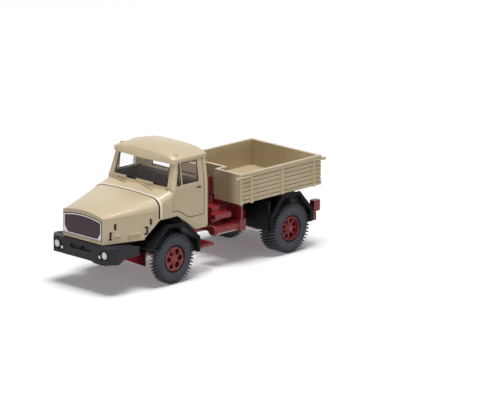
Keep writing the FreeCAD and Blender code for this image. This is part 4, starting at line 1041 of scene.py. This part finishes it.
for side in ("left", "right"):
    bm = makeBedSide()
    if side == "right":
        bmesh.ops.scale(bm, vec=(-1, 1, 1), verts=bm.verts)
    nodeName = "bed_side_" + side
    newPiece(nodeName + "_boarded", bm, "beige_body", "bed", (nodeName,), soft=(0.07, 2))

# the tailgate's outside: boards between posts, each post with two hinges
tail = {"boardOut": 0.22, "post": 0.8, "postOut": 0.47, "posts": (-12.88, -4.9, 4.1, 12.08), "hinge": 0.36,
        "hingeOut": 0.45, "hingeUp": 0.5, "hingeDown": 0.8}
low, high = boxOf("tailgate")
bm = bmesh.new()
for start, end in zip(tail["posts"], tail["posts"][1:]):
    top = high.z - 0.1
    joint = high.z - bedSide["first"]
    while top > low.z + 0.5:
        bottom = max(joint + bedSide["gap"] / 2, low.z + 0.04)
        block(bm, (start + tail["post"] - 0.05, high.y - 0.1, bottom),
              (end + 0.05, high.y + tail["boardOut"], top))
        top = joint - bedSide["gap"] / 2
        joint -= bedSide["pitch"]
for x in tail["posts"]:
    block(bm, (x, high.y - 0.1, low.z + 0.02), (x + tail["post"], high.y + tail["postOut"], high.z - 0.06))
    for z in (low.z + tail["hingeUp"], high.z - tail["hingeDown"]):
        y = high.y + tail["hingeOut"]
        rod(bm, (x - 0.06, y, z), (x + tail["post"] + 0.06, y, z), tail["hinge"], 16)
newPiece("tailgate_boards", bm, "beige_body", "bed", soft=(0.07, 2))
print("bed sides made")


# the rest: each node keeps its form and gets its finish and rounded edges

for name, obj in nodes.items():
    obj.data.materials.clear()
    obj.data.materials.append(finish[slotFinish[nodeSlot[name]]])

# how wide each node's edges are rounded, where it isn't the usual width
usualWidth = 0.10
moulding = {"rear_lamp_brackets": 0.28, "fender_front_left": 0.14, "fender_front_right": 0.14,
            "mudguard_rear_left": 0.14, "mudguard_rear_right": 0.14, "bumper": 0.22, "frame_rails": 0.18,
            "cab_shell": 0.12, "hood": 0.14, "bed_front_wall": 0.06, "tailgate": 0.06}
roofEdge = {"low": 33.0, "offset": 0.55, "segments": 5, "middle": (0, -11, 33.5)}


def roundRoof(obj):
    # the roof's upright rim runs into its dome with a soft round
    bm = bmesh.new()
    bm.from_mesh(obj.data)
    middle = Vector(roofEdge["middle"]) * mm
    edges = []
    for edge in bm.edges:
        if len(edge.link_faces) != 2 or min(vert.co.z for vert in edge.verts) < roofEdge["low"] * mm:
            continue
        upright = [abs(face.normal.z) < 0.2 for face in edge.link_faces]
        outward = [face.normal.dot(face.calc_center_median() - middle) > 0 for face in edge.link_faces]
        if upright[0] != upright[1] and all(outward):
            edges.append(edge)
    print("roof edges rounded:", len(edges))
    bmesh.ops.bevel(bm, geom=edges, offset=roofEdge["offset"] * mm, segments=roofEdge["segments"],
                    profile=0.5, affect="EDGES", clamp_overlap=True)
    bm.to_mesh(obj.data)
    bm.free()
    smoothShade(obj, 30)


brow = {"eaves": 32.7, "rear": -15.4, "share": 0.55, "forward": 0.35, "reach": 1.3, "lipReach": 0.6}


def lowerBrow(obj):
    # the roof's front runs down to a thin edge that stands out over the screen
    front = min(vert.co.y for vert in obj.data.vertices if vert.co.z > (brow["eaves"] + 0.1) * mm)
    for vert in obj.data.vertices:
        if vert.co.z < (brow["eaves"] - 0.05) * mm or vert.co.y > brow["rear"] * mm:
            continue
        near = max(0.0, 1 - (vert.co.y - front) / (brow["reach"] * mm))
        if abs(vert.co.z - brow["eaves"] * mm) < 0.05 * mm:
            if vert.co.y < front + brow["lipReach"] * mm:
                vert.co.y -= brow["forward"] * mm * near
        else:
            vert.co.z -= (vert.co.z - brow["eaves"] * mm) * (1 - brow["share"]) * near ** 2


plateHalf = 11.0


def trimPlate(obj):
    # the hoist mount's red plate ends 1 mm further in on each side than the part's own
    for vert in obj.data.vertices:
        if abs(vert.co.x) > plateHalf * mm:
            vert.co.x = math.copysign(plateHalf * mm, vert.co.x)


kept = {"front_axle_pin", "rear_axle_pin", "hoist_post", "tow_pin_front"} | set(panes)
for name in sorted(nodes):
    if name not in kept and not name.startswith(("tyre_", "rim_", "headlamps", "bed_side_", "grille")):
        obj = mouldedCopy(name, moulding.get(name, usualWidth))
        if name == "cab_shell":
            lowerBrow(obj)
            roundRoof(obj)
        if name == "hoist_mount":
            trimPlate(obj)
print("moulded pieces made")
